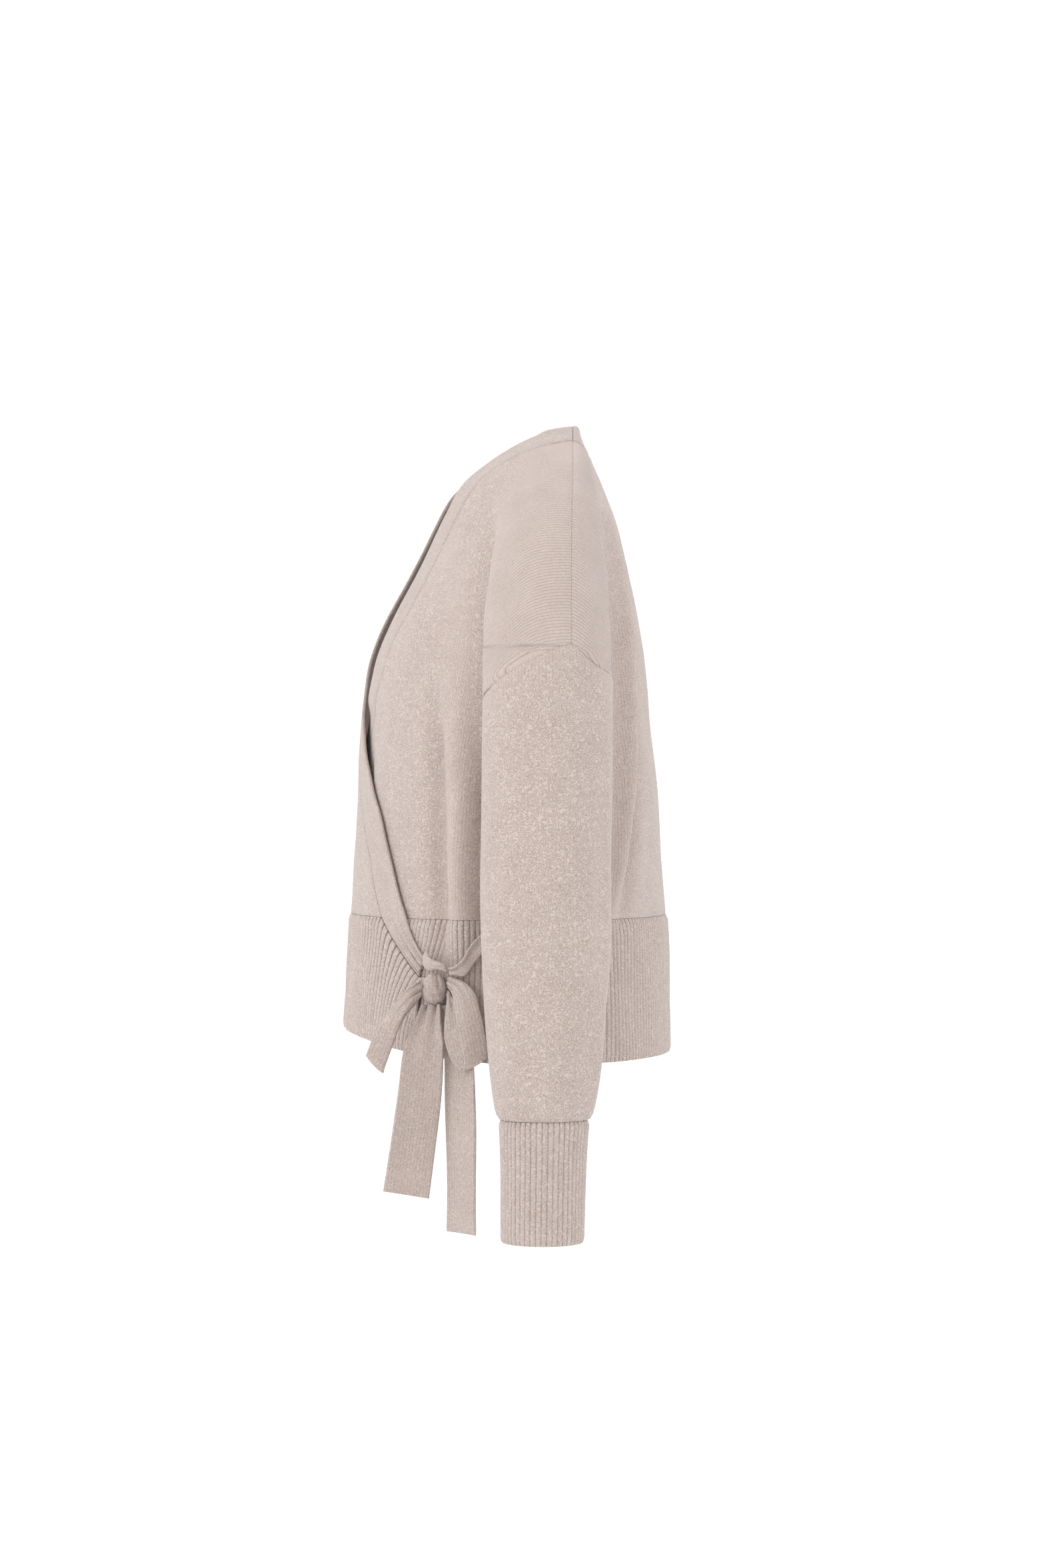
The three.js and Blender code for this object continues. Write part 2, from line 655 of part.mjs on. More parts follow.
// Columns of a hem rib: raised and low points in turn, then plain ones past plainFrom
function ribColumns(from, to, plainFrom) {
  const ribbed = Math.max(to - Math.max(from, plainFrom), 0);
  const ribs = 2 * Math.round(ribbed / HEM_RIB_PITCH / 2);
  const columns = steps(to, to - ribbed, 2 * ribs).map((arc, i) => ({ arc, raised: i % 2 === 1 }));
  if (plainFrom > from) {
    const plain = RIB_SKIP * 3;
    for (const arc of steps(plainFrom, from, plain).slice(1)) columns.push({ arc, raised: false });
  }
  return columns;
}

function ribbedWall(columns, pointAt, ring, rows) {
  const height = steps(0, 1, rows);
  const relief = (column) => (column.raised ? -RIB_RELIEF : 0);
  const outer = height.map((v) => columns.map((column) => pointAt(column.arc, v, relief(column))));
  const innerColumns = columns.filter((_, i) => i % RIB_SKIP === 0);
  const inner = height.map((v) => innerColumns.map((column) => pointAt(column.arc, v, CLOTH)));
  return wall(outer, inner, ring, RIB_SKIP);
}

function frontHem(side) {
  const end = reach(HEM_TOP, false);
  const far = side > 0 ? seamArc(HEM_TOP) : -RIB_END;
  const plainFrom = side > 0 ? UNDER_RIB_START : far;
  const columns = ribColumns(far, end - SEAM_GAP / 2, plainFrom);
  return ribbedWall(columns, (arc, v, depth) => {
    const bottom = mix(HEM_FRONT, HEM_SIDE, smooth(Math.abs(arc) / end));
    const seamTop = arc < seamLow.arc ? seamLow.z : along(bandSeam, "arc", arc, "z");
    const top = Math.min(HEM_TOP - SEAM_GAP / 2, seamTop - SLANT_GAP);
    const z = mix(bottom, top, v);
    const spread = reach(z, false) / end;
    return frontPoint(side, arc > 0 ? arc * spread : arc, z, depth);
  }, false, RIB_ROWS);
}

function backHem() {
  const end = reach(HEM_TOP, true) - SEAM_GAP / 2;
  const columns = ribColumns(-end, end, -end);
  return ribbedWall(columns, (arc, v, depth) => {
    const bottom = mix(HEM_BACK, HEM_SIDE, smooth(Math.abs(arc) / end));
    const z = mix(bottom, HEM_TOP - SEAM_GAP / 2, v);
    return backPoint((arc * (reach(z, true) - SEAM_GAP / 2)) / end, z, depth);
  }, false, RIB_ROWS);
}

// Point of a tube with oval sections, such as a sleeve or cuff
function tubePoint(table, angle, z, depth, side, keepOff) {
  const at = (value) => along(table, "z", z, value);
  const normal = new THREE.Vector2(at("halfY") * Math.cos(angle), at("halfX") * Math.sin(angle)).normalize();
  const swing = side < 0 ? RIGHT_ARM_SWING * smooth((UNDERARM - z) / (UNDERARM - CUFF_TOP)) : 0;
  let x = at("x") + at("halfX") * Math.cos(angle);
  const y = at("y") + at("halfY") * Math.sin(angle) + swing;
  if (keepOff) x = Math.max(x, keepOff(y, z));
  return new THREE.Vector3(side * (x - normal.x * depth), y - normal.y * depth, z);
}

// x that a sleeve must stay outside of, just clear of the torso
function clearOfTorso(y, z) {
  const mid = bodyAt(z, "mid");
  const depth = bodyAt(z, y < mid ? "front" : "back") - mid;
  const across = 1 - ((y - mid) / depth) ** 2;
  return across > 0 ? bodyAt(z, "half") * Math.sqrt(across) + SLEEVE_CLEARANCE : 0;
}

function sleeve(side) {
  const round = steps(APEX_ANGLE, APEX_ANGLE + 360, SLEEVE_COLUMNS, true);
  const turns = round.map((angle) => (angle > 180 ? angle - 360 : angle));
  return sheet(steps(0, 1, SLEEVE_ROWS), turns, (v, degrees, depth) => {
    const angle = THREE.MathUtils.degToRad(degrees);
    const top = seamHeight(degrees) - SLANT_GAP;
    const z = mix(top, CUFF_TOP + SEAM_GAP / 2, v);
    return tubePoint(ARM, angle, z, depth, side, clearOfTorso);
  }, true);
}

function cuff(side) {
  const count = 2 * CUFF_RIBS;
  const columns = steps(0, 2 * Math.PI, count, true).map((arc, i) => ({ arc, raised: i % 2 === 1 }));
  return ribbedWall(columns, (angle, v, depth) => {
    const z = mix(CUFF_END, CUFF_TOP - SEAM_GAP / 2, v);
    return tubePoint(CUFF, angle, z, depth, side, null);
  }, true, RIB_ROWS);
}

// The bow at the left hip. Places round the knot are given across (backwards along the hip), up,
// and out from the body; side is half of the ribbon's width in the same directions.
const KNOT = new THREE.Vector3(185, -135, -474.5);
const HIP_TURN = THREE.MathUtils.degToRad(5);
const ACROSS = new THREE.Vector3(Math.sin(HIP_TURN), Math.cos(HIP_TURN), 0);
const OUT = new THREE.Vector3(Math.cos(HIP_TURN), -Math.sin(HIP_TURN), 0);
const UP = new THREE.Vector3(0, 0, 1);

function hip([across, up, out]) {
  return new THREE.Vector3().addScaledVector(ACROSS, across).addScaledVector(UP, up).addScaledVector(OUT, out);
}

const RIBBONS = {
  loop_front: [
    { at: [-10.5, 1, 3], side: [-0.7, -7.9, 0] },
    { at: [-20, -5.5, 9.5], side: [1.7, -7.1, 1] },
    { at: [-28.5, -15.5, 12], side: [3.6, -5.8, 1.5] },
    { at: [-35.7, -27.5, 11.5], side: [5.7, -4.6, 1.5] },
    { at: [-42.8, -42.2, 9.5], side: [7.1, -5.6, 1] },
    { at: [-49.3, -59.5, 6.5], side: [6.9, -7.9, 0.5] },
    { at: [-50.8, -63.8, 3.2], side: [6.8, -8.2, 0] },
    { at: [-49, -59.5, 0.2], side: [6.9, -7.9, 0] },
    { at: [-42, -42.5, -1], side: [7, -5.6, 0] },
    { at: [-34.5, -28, -0.8], side: [5.2, -4.6, 0] },
    { at: [-26.5, -16.5, -0.5], side: [3.6, -5, 0] },
    { at: [-18, -8, -1], side: [2, -5, 0] },
    { at: [-13, -3, -2.5], side: [0, -4.5, 0] },
  ],
  loop_back: [
    { at: [11.8, 6.4, 4], side: [0.9, 4.3, 0] },
    { at: [20.4, 2, 15], side: [5.7, 4.6, 1] },
    { at: [26, -6.3, 24.5], side: [9.1, 4, 2] },
    { at: [28.8, -18.1, 29], side: [10.2, 2.3, 2] },
    { at: [31.9, -32, 31], side: [10.5, 2, 1] },
    { at: [34.6, -46.2, 31], side: [10.1, 2, 0] },
    { at: [35.6, -57, 29], side: [9.6, 2.6, 0] },
    { at: [34, -63.6, 25], side: [9.9, 4.8, 2] },
    { at: [27, -58, 22], side: [11, 3, 3.5] },
    { at: [22, -44.2, 16], side: [12, 1, 7] },
    { at: [20, -32.3, 15.2], side: [10.6, 0, 5] },
    { at: [18.6, -18.7, 11.2], side: [8.2, -0.5, 4] },
    { at: [15.7, -8.8, 9.3], side: [3.8, -1, 2] },
    { at: [11.6, -4.2, 4.2], side: [1.3, -2.8, 0.5] },
  ],
  tail_front: [
    { at: [-2, -13.4, 1.6], side: [8, 0, 2] },
    { at: [-4.5, -27, 5], side: [11, -1, 1.5] },
    { at: [-8.5, -51.5, 8.5], side: [17, -1, 1] },
    { at: [-12, -90.5, 10], side: [18.5, -2, 1] },
    { at: [-18, -135.5, 9], side: [19, -3, 0] },
    { at: [-23.5, -174.5, 9], side: [19.5, -3, 0] },
  ],
  tail_back: [
    { at: [8.5, -13.6, -1.5], side: [4, 0, 4.5] },
    { at: [14, -25, 2], side: [8, 0, 5.5] },
    { at: [21, -52, 9], side: [12, 0, 8] },
    { at: [23, -95.5, 13.5], side: [12.5, 0, 12] },
    { at: [24, -145.5, 14], side: [12.5, 0, 13] },
    { at: [24, -206.5, 14], side: [12.5, -0.5, 13] },
  ],
  side_tie: [
    { at: [78, 50.5, 19.1], side: [0, 12, 0] },
    { at: [58, 47, 17.5], side: [-1, 10.5, 0] },
    { at: [42, 40, 14.5], side: [-3, 6, 0] },
    { at: [32, 29, 14], side: [-3, 5.5, 1] },
    { at: [25.5, 19, 13.5], side: [-1, 7, 1] },
    { at: [19, 16.4, 11.5], side: [0, 4.2, 1] },
    { at: [13.5, 15.4, 9], side: [0, 3.3, 1] },
  ],
  knot_wrap: [
    { at: [-9.5, 29, -16.1], side: [2, 6, 2] },
    { at: [-7.5, 24, -8], side: [1.5, 6, 1.5] },
    { at: [-4, 21, 0], side: [1, 4.8, 0.5] },
    { at: [1, 20.6, 5], side: [0.3, 3.6, 0] },
    { at: [6, 19.8, 7.5], side: [-0.6, 3.4, 0] },
    { at: [10.8, 17.8, 7.5], side: [-1, 3.6, 0] },
  ],
};

// Ribbon of cloth through the rows of its table
function ribbon(rows, stepsPerRow = 2) {
  const centre = new THREE.CatmullRomCurve3(rows.map((row) => hip(row.at).add(KNOT)));
  const side = new THREE.CatmullRomCurve3(rows.map((row) => hip(row.side)));
  const count = (rows.length - 1) * stepsPerRow;
  return sheet(steps(0, 1, count), [-1, 0, 1], (t, share, depth) => {
    const half = side.getPoint(t);
    const normal = centre.getTangent(t).cross(half).normalize();
    return centre.getPoint(t).addScaledVector(half, share).addScaledVector(normal, CLOTH / 2 - depth);
  });
}

// The knot: a tight round of cloth with the slanting furrows between its turns
function knot() {
  const half = new THREE.Vector3(10.3, 13.2, 9.5); // across, up, out
  const furrow = 0.09;
  const geometry = new THREE.SphereGeometry(1, 20, 12);
  const position = geometry.getAttribute("position");
  for (let i = 0; i < position.count; i += 1) {
    const unit = new THREE.Vector3().fromBufferAttribute(position, i);
    const turns = Math.cos(3 * (unit.y * 1.6 + unit.x * 0.9));
    const size = 1 - furrow * (1 - turns) * 0.5;
    const place = hip([unit.x * half.x * size, unit.y * half.y * size, unit.z * half.z * size]).add(KNOT);
    position.setXYZ(i, place.x, place.y, place.z);
  }
  geometry.deleteAttribute("normal");
  geometry.deleteAttribute("uv");
  return mergeVertices(geometry, 1e-4);
}

const KNIT = new THREE.Color(203 / 255, 189 / 255, 181 / 255);
const group = new THREE.Group();

function add(name, geometry, shade = 1) {
  const color = KNIT.clone().multiplyScalar(shade);
  const material = new THREE.MeshStandardMaterial({ color, roughness: 0.95, metalness: 0 });
  const mesh = new THREE.Mesh(geometry, material);
  mesh.name = name;
  group.add(mesh);
}

const SIDES = [{ name: "left", side: 1 }, { name: "right", side: -1 }];

add("back", backPanel());
add("back_neck_band", backNeckBand());
add("back_hem_rib", backHem(), 0.95);
for (const { name, side } of SIDES) {
  add(`${name}_front`, frontPanel(side));
  add(`${name}_front_band`, frontBand(side));
  add(`${name}_front_hem_rib`, frontHem(side), 0.95);
  add(`${name}_sleeve`, sleeve(side));
  add(`${name}_cuff`, cuff(side), 0.95);
}

add("bow_knot", knot());
for (const [name, rows] of Object.entries(RIBBONS)) add(name, ribbon(rows));

export default group;
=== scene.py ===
import math

import bpy
import numpy as np
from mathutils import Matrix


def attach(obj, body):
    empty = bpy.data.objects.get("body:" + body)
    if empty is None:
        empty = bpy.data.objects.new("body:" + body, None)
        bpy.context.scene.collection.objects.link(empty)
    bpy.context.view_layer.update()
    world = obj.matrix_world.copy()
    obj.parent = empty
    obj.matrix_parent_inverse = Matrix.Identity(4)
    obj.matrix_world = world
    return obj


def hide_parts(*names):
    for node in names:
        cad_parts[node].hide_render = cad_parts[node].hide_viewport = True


bl_info = {
    "name": "Wrap cardigan",
    "version": (1, 0, 0),
    "blender": (4, 5, 0),
    "location": "3D View > Sidebar > Cardigan",
    "description": "Makes a hollow knitted wrap cardigan with a tie bow, a pale floor and soft light",
    "category": "Add Mesh",
}

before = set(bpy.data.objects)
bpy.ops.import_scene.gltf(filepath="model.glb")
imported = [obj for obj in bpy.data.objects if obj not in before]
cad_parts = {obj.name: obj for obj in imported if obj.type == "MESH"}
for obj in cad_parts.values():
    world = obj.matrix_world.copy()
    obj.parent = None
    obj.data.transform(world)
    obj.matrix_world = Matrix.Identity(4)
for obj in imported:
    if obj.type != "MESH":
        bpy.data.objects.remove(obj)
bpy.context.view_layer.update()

MM = 0.001
SEED = 4

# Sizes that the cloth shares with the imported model, in millimetres
LAYER = 4.6
HEM_RIB_PITCH = 5.05
CUFF_RIBS = 48
NECK_TOP = 15.5
BAND_WIDTH = 38
BAND_END_WIDTH = 16.5
BAND_GATHER_START = -385
BAND_END = -450
BAND_DRAWN = 0.5
BAND_DRAWN_START = -424
BACK_NECK_DROP = 17
UNDERARM = -243
SLEEVE_APEX = -184
HEM_TOP = -416
CUFF_TOP = -577
CUFF_END = -679
PANEL_TOP = -0.5
BACK_TOP = -0.1
NECK_ROWS_START = -100
HEM_FRONT = -519
HEM_SIDE = -538
HEM_BACK = -537
RIB_END = 172
UNDER_BAND_END = -390
RIGHT_ARM_SWING = 50
FOLD_X = (80, 215)
SLEEVE_CLEARANCE = 1.2
YOKE_START = -28
YOKE_DEPTH = 66
LAP_START = -170
LAP_WIDTH = 120
LAP_TOP = -60
LAP_DEPTH = 140
CROSSING_DIP = 3
OUTLINE_STEPS = 120


def mix(a, b, t):
    return a + (b - a) * t


def smooth(t):
    c = np.clip(t, 0, 1)
    return c * c * (3 - 2 * c)


def curve(keys, values, at):
    """Smooth curve through rows of numbers or points at rising keys; past the ends it holds still."""
    keys = np.asarray(keys, float)
    values = np.asarray(values, float)
    wide = (slice(None),) + (None,) * (values.ndim - 1)
    slopes = np.empty_like(values)
    slopes[1:-1] = (values[2:] - values[:-2]) / (keys[2:] - keys[:-2])[wide]
    slopes[0] = (values[1] - values[0]) / (keys[1] - keys[0])
    slopes[-1] = (values[-1] - values[-2]) / (keys[-1] - keys[-2])
    at = np.asarray(at, float)
    i = np.clip(np.searchsorted(keys, at, side="right") - 1, 0, len(keys) - 2)
    span = keys[i + 1] - keys[i]
    t = np.clip((at - keys[i]) / span, 0, 1)
    wide = at.shape + (1,) * (values.ndim - 1)
    t = t.reshape(wide)
    span = span.reshape(wide)
    t2 = t * t
    t3 = t2 * t
    ends = values[i] * (2 * t3 - 3 * t2 + 1) + values[i + 1] * (3 * t2 - 2 * t3)
    return ends + span * (slopes[i] * (t3 - 2 * t2 + t) + slopes[i + 1] * (t3 - t2))


class Table:
    """Rows of numbers under named columns. Calling it gives a column's smooth value at a place."""

    def __init__(self, names, *rows):
        self.names = names.split()
        self.rows = np.array(sorted(rows), float)

    def __call__(self, at, name):
        return curve(self.rows[:, 0], self.rows[:, self.names.index(name)], at)

    @property
    def ends(self):
        return self.rows[0, 0], self.rows[-1, 0]


# Body sections. z: height; front, back: y at the centre; half: half-width of the torso alone;
# mid: y of its widest place; shoulder: x of the shoulder line where the section ends over the arm
BODY = Table(
    "z front back half mid shoulder",
    (16, -60, 5, 76, -11, 78),
    (8, -65, 6.5, 90, -10, 94),
    (0, -72, 9, 106, -9, 112),
    (-18, -91, 16, 142, -12, 152),
    (-36, -109, 23.5, 168, -16, 184),
    (-64, -122.5, 35, 189, -24, 224),
    (-94, -135.5, 44.5, 198, -32, 250),
    (-127, -150, 53.5, 202, -39, 269),
    (-162, -167, 60, 204, -45, 283),
    (-187, -175.5, 64, 205, -48, 291),
    (-215, -180.5, 67.5, 205.5, -49.5, 298),
    (-254, -184, 71, 206, -50, 306),
    (-308, -186.5, 76.5, 206, -50, 306),
    (-381, -190.5, 81.5, 207, -50, 306),
    (-443, -193.5, 85, 208, -50, 306),
    (-530, -198.5, 87, 212, -50, 306),
    (-545, -199, 87, 212, -50, 306),
)

ARM = Table(
    "z x y halfX halfY",
    (16, 38, -15, 40, 25),
    (0, 68, -22, 44, 31),
    (-36, 138, -31, 46, 38),
    (-64, 176, -36, 48, 42),
    (-94, 202, -39, 48, 46),
    (-127, 220, -41, 49, 50),
    (-162, 233.5, -43, 49.5, 53),
    (-187, 241, -43.5, 49.5, 54),
    (-215, 248.5, -44, 49.5, 54.5),
    (-243, 255.7, -45, 49.7, 54.5),
    (-308, 270, -46.5, 50.5, 54.5),
    (-381, 280, -47.5, 50.5, 54.5),
    (-443, 285, -48, 49, 53.5),
    (-495, 287, -49.5, 46.5, 49.5),
    (-535, 288, -50, 43.5, 46),
    (-565, 288.5, -50.5, 40.5, 42),
    (-577.5, 288.5, -50.5, 38, 38),
)

CUFF = Table(
    "z x y halfX halfY",
    (-577, 288.5, -50.5, 36.4, 36),
    (-611, 288.5, -51, 36, 34.4),
    (-679, 288.5, -52, 36.4, 33.6),
)

SLEEVE_SEAM = Table(
    "angle z",
    (-180, -243),
    (-140, -237),
    (-105, -229),
    (-72, -221),
    (-45, -209.5),
    (-15, -195),
    (16.7, -184),
    (36, -196),
    (52, -203.5),
    (75, -209),
    (110, -219),
    (145, -232),
    (180, -243),
)

FRONT_EDGE = Table(
    "z x",
    (15.5, 78),
    (8, 79),
    (0, 78),
    (-14, 74.5),
    (-36, 70),
    (-64, 63),
    (-94, 55),
    (-127, 46),
    (-162, 35),
    (-187, 25),
    (-207, 13),
    (-225, 0),
    (-251, -20),
    (-285, -52),
    (-322, -88),
    (-346, -105),
    (-381, -125),
    (-408, -139),
    (-427, -148),
    (-443, -158),
    (-450, -163),
)

# Folds of the body: a crest or trough along a line, y where it lies, rise its height, width its
# half-breadth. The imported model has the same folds, some of them shallower.
FOLD_NAMES = "z y rise width"
FRONT_FOLDS = [
    # ridge before the sleeve
    Table(FOLD_NAMES, (-190, -113, 0, 12), (-235, -112, 6, 12), (-320, -111, 11, 12), (-400, -111, 10.5, 11),
          (-440, -111, 6, 9), (-475, -111, 0, 8)),
    # valley in front of the ridge
    Table(FOLD_NAMES, (-200, -132, 0, 8), (-250, -131, -6.5, 6), (-330, -130, -9.5, 6),
          (-420, -128, -8.5, 6),
          (-465, -128, 0, 7)),
    # recess behind the ridge
    Table(FOLD_NAMES, (-245, -88, 0, 9), (-285, -89, -6, 9), (-430, -90, -6, 9), (-480, -92, 0, 10)),
]
BACK_FOLDS = [
    # fold behind the arm
    Table(FOLD_NAMES, (-55, 12, 0, 6), (-83, 22, 5, 6), (-126, 27.5, 10, 6.5), (-199, 32, 12, 6.5),
          (-250, 33, 12, 6.5), (-299, 31.5, 12, 7), (-368, 25, 8, 7), (-400, 19, 4, 7), (-430, 12, 0, 7)),
    # valley behind that fold
    Table(FOLD_NAMES, (-70, 28, 0, 6), (-126, 38.5, -8, 5.5), (-199, 43.5, -12, 6), (-299, 43, -12, 6),
          (-368, 36.5, -9, 6), (-400, 30.5, -5, 6), (-430, 26, 0, 7)),
]

# Softer creases of each piece. across: cloth distance from the centre, + to the wearer's left
# (degrees round the arm on a sleeve); rise and width as above
CREASE_NAMES = "z across rise width"
CREASES = {
    "left_front": [
        Table(CREASE_NAMES, (-20, 118, 0, 12), (-60, 150, 1.6, 13), (-110, 172, 2.2, 14),
              (-170, 178, 0.8, 15),
              (-210, 180, 0, 15)),
        Table(CREASE_NAMES, (-90, 205, 0, 9), (-130, 213, -1.6, 9), (-190, 216, -1.2, 9), (-240, 214, 0, 9)),
        Table(CREASE_NAMES, (-240, 150, 0, 14), (-300, 146, 1.3, 15), (-380, 143, 0.9, 14),
              (-414, 142, 0, 14)),
        Table(CREASE_NAMES, (-150, 95, 0, 18), (-210, 100, 1.2, 20), (-300, 112, 1.0, 18),
              (-380, 120, 0, 18)),
    ],
    "right_front": [
        Table(CREASE_NAMES, (-20, -118, 0, 12), (-60, -148, 1.8, 13), (-115, -168, 2, 14),
              (-190, -176, 0, 15)),
        Table(CREASE_NAMES, (-180, -60, 0, 16), (-250, -40, 1.6, 17), (-330, 10, 1.8, 15),
              (-405, 70, 1.2, 12),
              (-440, 110, 0, 10)),
        Table(CREASE_NAMES, (-230, -110, 0, 16), (-300, -88, 1.4, 18), (-370, -40, 1.8, 15),
              (-430, 30, 0, 12)),
        Table(CREASE_NAMES, (-300, -150, 0, 15), (-350, -135, -1.3, 15), (-412, -100, 0, 15)),
    ],
    "back": [
        Table(CREASE_NAMES, (-40, 60, 0, 16), (-110, 95, 1.6, 18), (-200, 120, 1.2, 18), (-300, 128, 0, 18)),
        Table(CREASE_NAMES, (-40, -64, 0, 16), (-120, -98, 1.4, 18), (-230, -118, 1.4, 18),
              (-330, -122, 0, 18)),
        Table(CREASE_NAMES, (-180, 40, 0, 22), (-260, 52, -1.5, 22), (-350, 60, -1.1, 20),
              (-412, 62, 0, 20)),
        Table(CREASE_NAMES, (-200, -35, 0, 22), (-280, -46, 1.5, 22), (-360, -58, 1.0, 20),
              (-412, -60, 0, 20)),
        Table(CREASE_NAMES, (-230, 0, 0, 20), (-310, 4, 1.4, 22), (-412, 8, 0, 20)),
    ],
    "left_sleeve": [
        Table(CREASE_NAMES, (-210, -38, 0, 11), (-270, -36, 1.2, 12), (-360, -30, 1.0, 12),
              (-450, -30, 0, 12)),
        Table(CREASE_NAMES, (-225, 30, 0, 10), (-290, 27, 1.6, 10), (-380, 31, 1.2, 11), (-470, 30, 0.4, 11),
              (-500, 30, 0, 11)),
        Table(CREASE_NAMES, (-240, 58, 0, 9), (-330, 54, -1.3, 10), (-430, 50, -1.6, 11), (-520, 52, 0, 10)),
        Table(CREASE_NAMES, (-440, -62, 0, 12), (-500, -50, 1.4, 13), (-550, -44, 1.4, 12),
              (-575, -42, 0, 12)),
        Table(CREASE_NAMES, (-470, 8, 0, 10), (-530, 5, 1.7, 11), (-574, 3, 0, 11)),
        Table(CREASE_NAMES, (-460, 60, 0, 12), (-520, 66, 1.8, 13), (-574, 70, 0, 12)),
        Table(CREASE_NAMES, (-280, 140, 0, 16), (-380, 150, 1.6, 16), (-500, 140, 0, 16)),
        Table(CREASE_NAMES, (-300, -130, 0, 16), (-420, -120, 1.4, 16), (-540, -128, 0, 16)),
    ],
    "right_sleeve": [
        Table(CREASE_NAMES, (-215, -30, 0, 11), (-280, -34, 1.5, 12), (-370, -28, 1.0, 12),
              (-455, -22, 0, 12)),
        Table(CREASE_NAMES, (-230, 36, 0, 10), (-300, 33, 1.4, 11), (-400, 26, 1.4, 11), (-490, 28, 0, 11)),
        Table(CREASE_NAMES, (-300, 70, 0, 11), (-390, 64, -1.5, 12), (-490, 60, 0, 12)),
        Table(CREASE_NAMES, (-450, -55, 0, 12), (-510, -60, 1.6, 13), (-574, -58, 0, 12)),
        Table(CREASE_NAMES, (-480, 15, 0, 10), (-535, 18, 1.8, 11), (-574, 20, 0, 11)),
        Table(CREASE_NAMES, (-290, -125, 0, 16), (-400, -135, 1.5, 16), (-530, -128, 0, 16)),
    ],
}


def seam_height(degrees):
    return SLEEVE_SEAM(degrees, "z")


APEX_DEGREES = SLEEVE_SEAM.rows[np.argmax(SLEEVE_SEAM.rows[:, 1]), 0]


def shoulder_seam_y(z):
    """The shoulder seam drifts forwards as it goes out over the arm."""
    return -8.6 - 0.105 * (BODY(z, "shoulder") - 112)


def arm_point(angle, z):
    x = ARM(z, "x") + ARM(z, "halfX") * np.cos(angle)
    y = ARM(z, "y") + ARM(z, "halfY") * np.sin(angle)
    return np.stack([x, y], -1)


def panel_end_angle(z, back):
    """Angle round the arm at which a front or back panel ends at this height."""
    if z >= SLEEVE_APEX:
        return math.asin(float((shoulder_seam_y(z) - ARM(z, "y")) / ARM(z, "halfY")))
    degrees = np.linspace(APEX_DEGREES, 180 if back else -180, 721)
    heights = seam_height(degrees)
    return math.radians(np.interp(-z, -heights, degrees))


def runs(points):
    """Distance along a line of points up to each of them."""
    steps = np.linalg.norm(np.diff(points, axis=0), axis=1)
    return np.concatenate([[0], np.cumsum(steps)])


def evenly(points, steps=OUTLINE_STEPS):
    along = runs(points)
    at = np.linspace(0, along[-1], steps + 1)
    return np.stack([np.interp(at, along, points[:, k]) for k in (0, 1)], -1)


def oval(half, mid, depth):
    angle = np.linspace(math.pi / 2, 0, OUTLINE_STEPS + 1)
    return np.stack([half * np.cos(angle), mid + depth * np.sin(angle)], -1)


def torso_and_arm(z, back):
    """Torso oval from the centre to the groove beside the arm, then over the arm to the panel's end."""
    mid = BODY(z, "mid")
    torso = oval(BODY(z, "half"), mid, BODY(z, "back" if back else "front") - mid)
    if z <= UNDERARM:
        return torso, None, 1.0
    centre = np.array([ARM(z, "x"), ARM(z, "y")])
    half = np.array([ARM(z, "halfX"), ARM(z, "halfY")])
    inside = (((torso - centre) / half) ** 2).sum(1) < 1
    points = torso[:np.argmax(inside)] if inside.any() else torso
    groove = points[-1]
    turn = 1 if back else -1
    start = math.atan2(*((groove - centre) / half)[::-1])
    if start * turn < 0:
        start += 2 * math.pi * turn
    angles = np.linspace(start, panel_end_angle(z, back), OUTLINE_STEPS + 1)[1:]
    joined = np.concatenate([points, arm_point(angles, z)])
    return joined, groove, runs(points)[-1] / runs(joined)[-1]


def soften_groove(points, groove):
    if groove is None:
        return points
    line = points.copy()
    for _ in range(10):
        away = np.linalg.norm(line - groove, axis=1)
        amount = (0.5 * np.exp(-((away / 15) ** 2)))[1:-1, None]
        line[1:-1] = mix(line[1:-1], (line[:-2] + line[2:]) / 2, amount)
    return line


def fold_rise(y, z, folds):
    rise = 0
    for fold in folds:
        low, high = fold.ends
        if low <= z <= high:
            away = (y - fold(z, "y")) / fold(z, "width")
            rise = rise + fold(z, "rise") * np.exp(-away * away)
    return rise


def with_folds(points, z, back):
    before = np.concatenate([points[:1], points[:-1]])
    after = np.concatenate([points[1:], points[-1:]])
    d = after - before
    length = np.linalg.norm(d, axis=1)
    near_side = (points[:, 0] > FOLD_X[0]) & (points[:, 0] < FOLD_X[1])
    rise = np.where(near_side, fold_rise(points[:, 1], z, BACK_FOLDS if back else FRONT_FOLDS), 0)
    side = 1 if back else -1
    outwards = np.stack([-side * d[:, 1], side * d[:, 0]], -1) / length[:, None]
    return points + outwards * rise[:, None]


def outline(z, back):
    """Half outline of the body at one height, from the centre to the edge of the panel."""
    joined, groove, share = torso_and_arm(z, back)
    body = soften_groove(evenly(joined), groove)
    seam_y = shoulder_seam_y(z)
    yoke = evenly(oval(BODY(z, "shoulder"), seam_y, BODY(z, "back" if back else "front") - seam_y))
    points = mix(yoke, body, smooth((YOKE_START - z) / YOKE_DEPTH))
    return evenly(with_folds(points, z, back)), share


